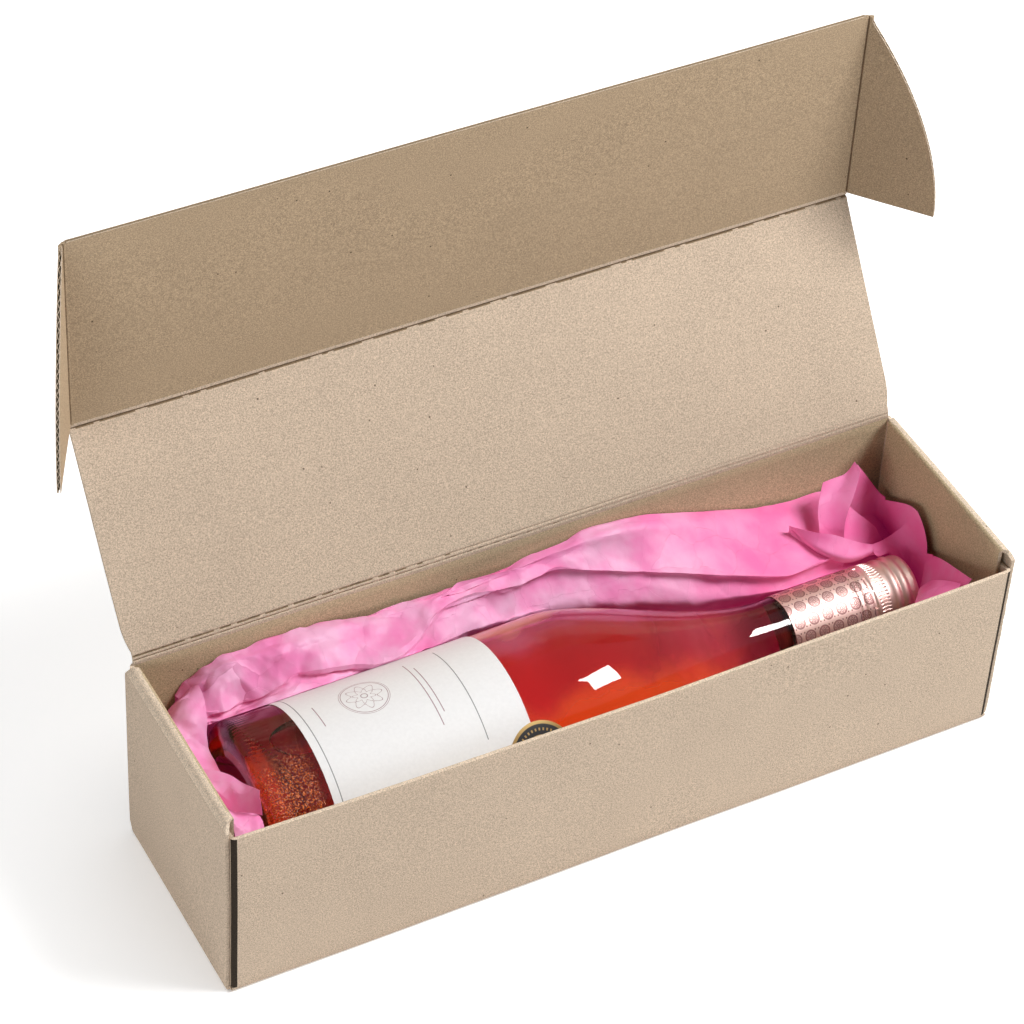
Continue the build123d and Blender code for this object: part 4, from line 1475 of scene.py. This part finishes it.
def cap_s(from_top):
    return full_length / mm - from_top


def groove(place):
    depth, width = 0.22, 0.35
    s = cap_s(place)
    return [(s - width, sleeve), (s - width * 0.4, sleeve - depth * 0.8), (s, sleeve - depth),
            (s + width * 0.4, sleeve - depth * 0.8), (s + width, sleeve)]


def rib(place):
    half_width, rise, steps = 1.9, 0.8, 8
    s = cap_s(place)
    return [(s - half_width + 2 * half_width * i / steps,
             thread + rise * math.sin(math.pi * i / steps) ** 0.8) for i in range(steps + 1)]


knurl_low, knurl_high = cap_s(19.3), cap_s(14.6)
tear_line = [(22.2, 0), (21.9, -0.35), (20.9, -0.35), (20.6, 0), (20.2, 0.12), (19.7, 0.12),
             (19.4, 0)]
cap_profile = ([(cap_foot, sleeve - 0.3), (cap_foot + 0.05, sleeve)]
               + straight((cap_foot, sleeve), (cap_s(29), sleeve), 8)
               + groove(28.5) + groove(26.0)
               + [(cap_s(from_top), sleeve + rise) for from_top, rise in tear_line]
               + [(knurl_low + (knurl_high - knurl_low) * i / 6, sleeve) for i in range(7)]
               + [(cap_s(14.2), thread)] + rib(10.4) + rib(6.2)
               + [(cap_s(3.4), thread), (cap_s(2.4), thread + 0.25), (cap_s(1.6), thread + 0.2)]
               + arc((cap_s(1.5), thread - 1.5), 1.5, 80, 0, 7) + [(cap_s(0), 0)])
inner_cap = [(cap_s(0.3), 0), (cap_s(0.3), thread - 1.6), (cap_s(1.6), thread - 0.3),
             (cap_s(14.4), thread - 0.3), (cap_s(15.2), sleeve - 0.5), (cap_foot, sleeve - 0.3)]


def knurl(s, radius, angle):
    """Upright notches in the band, and bridges in the tear line."""
    if radius < thread - 0.2:
        return 0
    if knurl_low - 0.01 < s < knurl_high + 0.01:
        ends = min(1, (s - knurl_low) / 0.5, (knurl_high - s) / 0.5)
        return -0.42 * max(ends, 0) * max(0, math.cos(60 * angle)) ** 0.6
    if cap_s(22) < s < cap_s(20.8) and radius < sleeve:
        return 0.35 * (math.cos(12 * angle) > 0.92)
    return 0


print("cap's section:", len(cap_profile) + len(inner_cap), "points")

# %% Print the cap
metal = Paint("rose_cap_metal")
turn_to_axis = metal.place(origin=tuple(bottle_base), turn=(0, 0, bottle_yaw))
ca, cb, cc = metal.parts(turn_to_axis)
cell = 0.0066
rows_round = 14
lace_u = (ca - cap_start) / cell
lace_v = metal.maths("ARCTAN2", cb, cc) * (rows_round / (2 * math.pi)) + 64.0
shifted = lace_u + lace_v.maths("FLOOR").maths("MODULO", 2.0) * 0.5
cu, cv = shifted.cell(), lace_v.cell()
disc = (cu * cu + cv * cv * (0.95 ** 2)).root()
spoke = metal.maths("ARCTAN2", cv, cu)


def lace(size, width):
    return disc.line(size, width * 0.4, width)


lines = (lace(0.36, 0.035) + lace(0.30, 0.02) + lace((spoke * 8).cosine() * 0.05 + 0.19, 0.035)
         + lace(0.08, 0.03)).capped()
dots_u, dots_v = (lace_u * 4.0).cell(), (lace_v * 3.0).cell()
dots = (1 - (dots_u * dots_u + dots_v * dots_v).root().step(0.13, 0.2)) * disc.step(0.40, 0.43)
printed_sleeve = 1 - ca.step(cap_s(22.4) * mm, cap_s(22.2) * mm)
figure = ((lines * 0.85 + dots + disc.below(0.36) * 0.25) * printed_sleeve).capped()
wear = metal.noise(metal.place(), 700, 2)
metal_paint = metal.finish(metal.surface(
    Base_Color=metal.mix(figure, colour(246, 214, 206), colour(134, 74, 78)),
    Metallic=figure.between(1.0, 0.6), Roughness=wear.between(0.44, 0.55),
    Normal=metal.bump(wear, 0.00003, 0.5)))
print("metal:", metal_paint.name)

# %% Turn the cap
cap = turned("screw_cap_metal", cap_profile + inner_cap, 720, metal_paint, knurl)
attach(cap, "tray")
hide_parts("screw_cap", "cap_liner")
print("cap:", len(cap.data.polygons), "faces")

# %% [markdown]
# ## Studio
#
# One soft box stands to the right of the front, high up: its mirror image is the bright window on
# the bottle. A white room fills the shadows. The floor is white enough to vanish and keeps the
# box's own shadow; to the eye it also carries a painted contact shade, darker close to the box.

# %% Light the studio
def soft_box(name, towards, long_side, distance, size, power):
    """A soft box in a direction from the bottle, aimed at it, with its long side along another."""
    aim = Vector((0.0, 0.0, 0.07))
    back = Vector(towards).normalized()
    across = Vector(long_side)
    across = (across - back * across.dot(back)).normalized()
    upright = back.cross(across)
    place = aim + back * distance
    bpy.ops.object.light_add(type="AREA", location=place)
    light = bpy.context.object
    light.name = name
    light.data.shape = "RECTANGLE"
    light.data.size, light.data.size_y = size
    light.data.energy = power
    light.matrix_world = Matrix((
        (across.x, upright.x, back.x, place.x),
        (across.y, upright.y, back.y, place.y),
        (across.z, upright.z, back.z, place.z),
        (0, 0, 0, 1)))
    return light


soft_box("soft_box", (0.585, -0.276, 0.763), (0.783, 0.442, -0.437), 1.9, (0.81, 0.54), 40)
back_box = soft_box("back_box", (-0.45, 0.45, 0.77), (1, 1, 0), 2.2, (1.2, 1.2), 11)
left_box = soft_box("left_box", (-0.85, -0.45, 0.25), (0.45, -0.85, 0), 2.0, (1.2, 0.6), 11)
for fill_light in (back_box, left_box):
    fill_light.visible_glossy = False      # no second window in the glass

print("lights:", len(bpy.data.lights))

# %% Paint the room white
room = Paint("white_room", "worlds", "ShaderNodeOutputWorld")
clear_view = room.ray("Is Camera Ray").maths("MAXIMUM", room.ray("Is Transmission Ray"))
level = clear_view.maths("MAXIMUM", room.ray("Is Glossy Ray") * 0.35)
bpy.context.scene.world = room.finish(
    room.node("ShaderNodeBackground", {}, {"Color": (1, 1, 1, 1), "Strength": level}))
print("world:", bpy.context.scene.world.name)

# %% Lay the floor
bpy.ops.object.select_all(action="DESELECT")
bpy.ops.mesh.primitive_plane_add(size=8, location=(0, 0, -0.0002))
floor = bpy.context.object
floor.name = "floor"
pale = Paint("white_floor")
matt = pale.node("ShaderNodeBsdfDiffuse", {}, {"Color": (0.86, 0.86, 0.86, 1)})
glow = pale.node("ShaderNodeEmission", {}, {"Color": (1, 1, 1, 1), "Strength": 0.35})
# to the eye the floor is white with a painted contact shade, darker near the box's foot
painted_contact_shade = pale.node("ShaderNodeAmbientOcclusion", {"samples": 8}, {"Distance": 0.06})
white_with_painted_shade = pale.node("ShaderNodeEmission", {}, {"Color": painted_contact_shade, "Strength": 0.65})
shine = pale.blend(pale.ray("Is Camera Ray"), glow, white_with_painted_shade)
floor.data.materials.append(
    pale.finish(pale.node("ShaderNodeAddShader", {}, {0: matt, 1: shine})))
bpy.context.scene.view_settings.view_transform = "Standard"
print("floor:", floor.name)
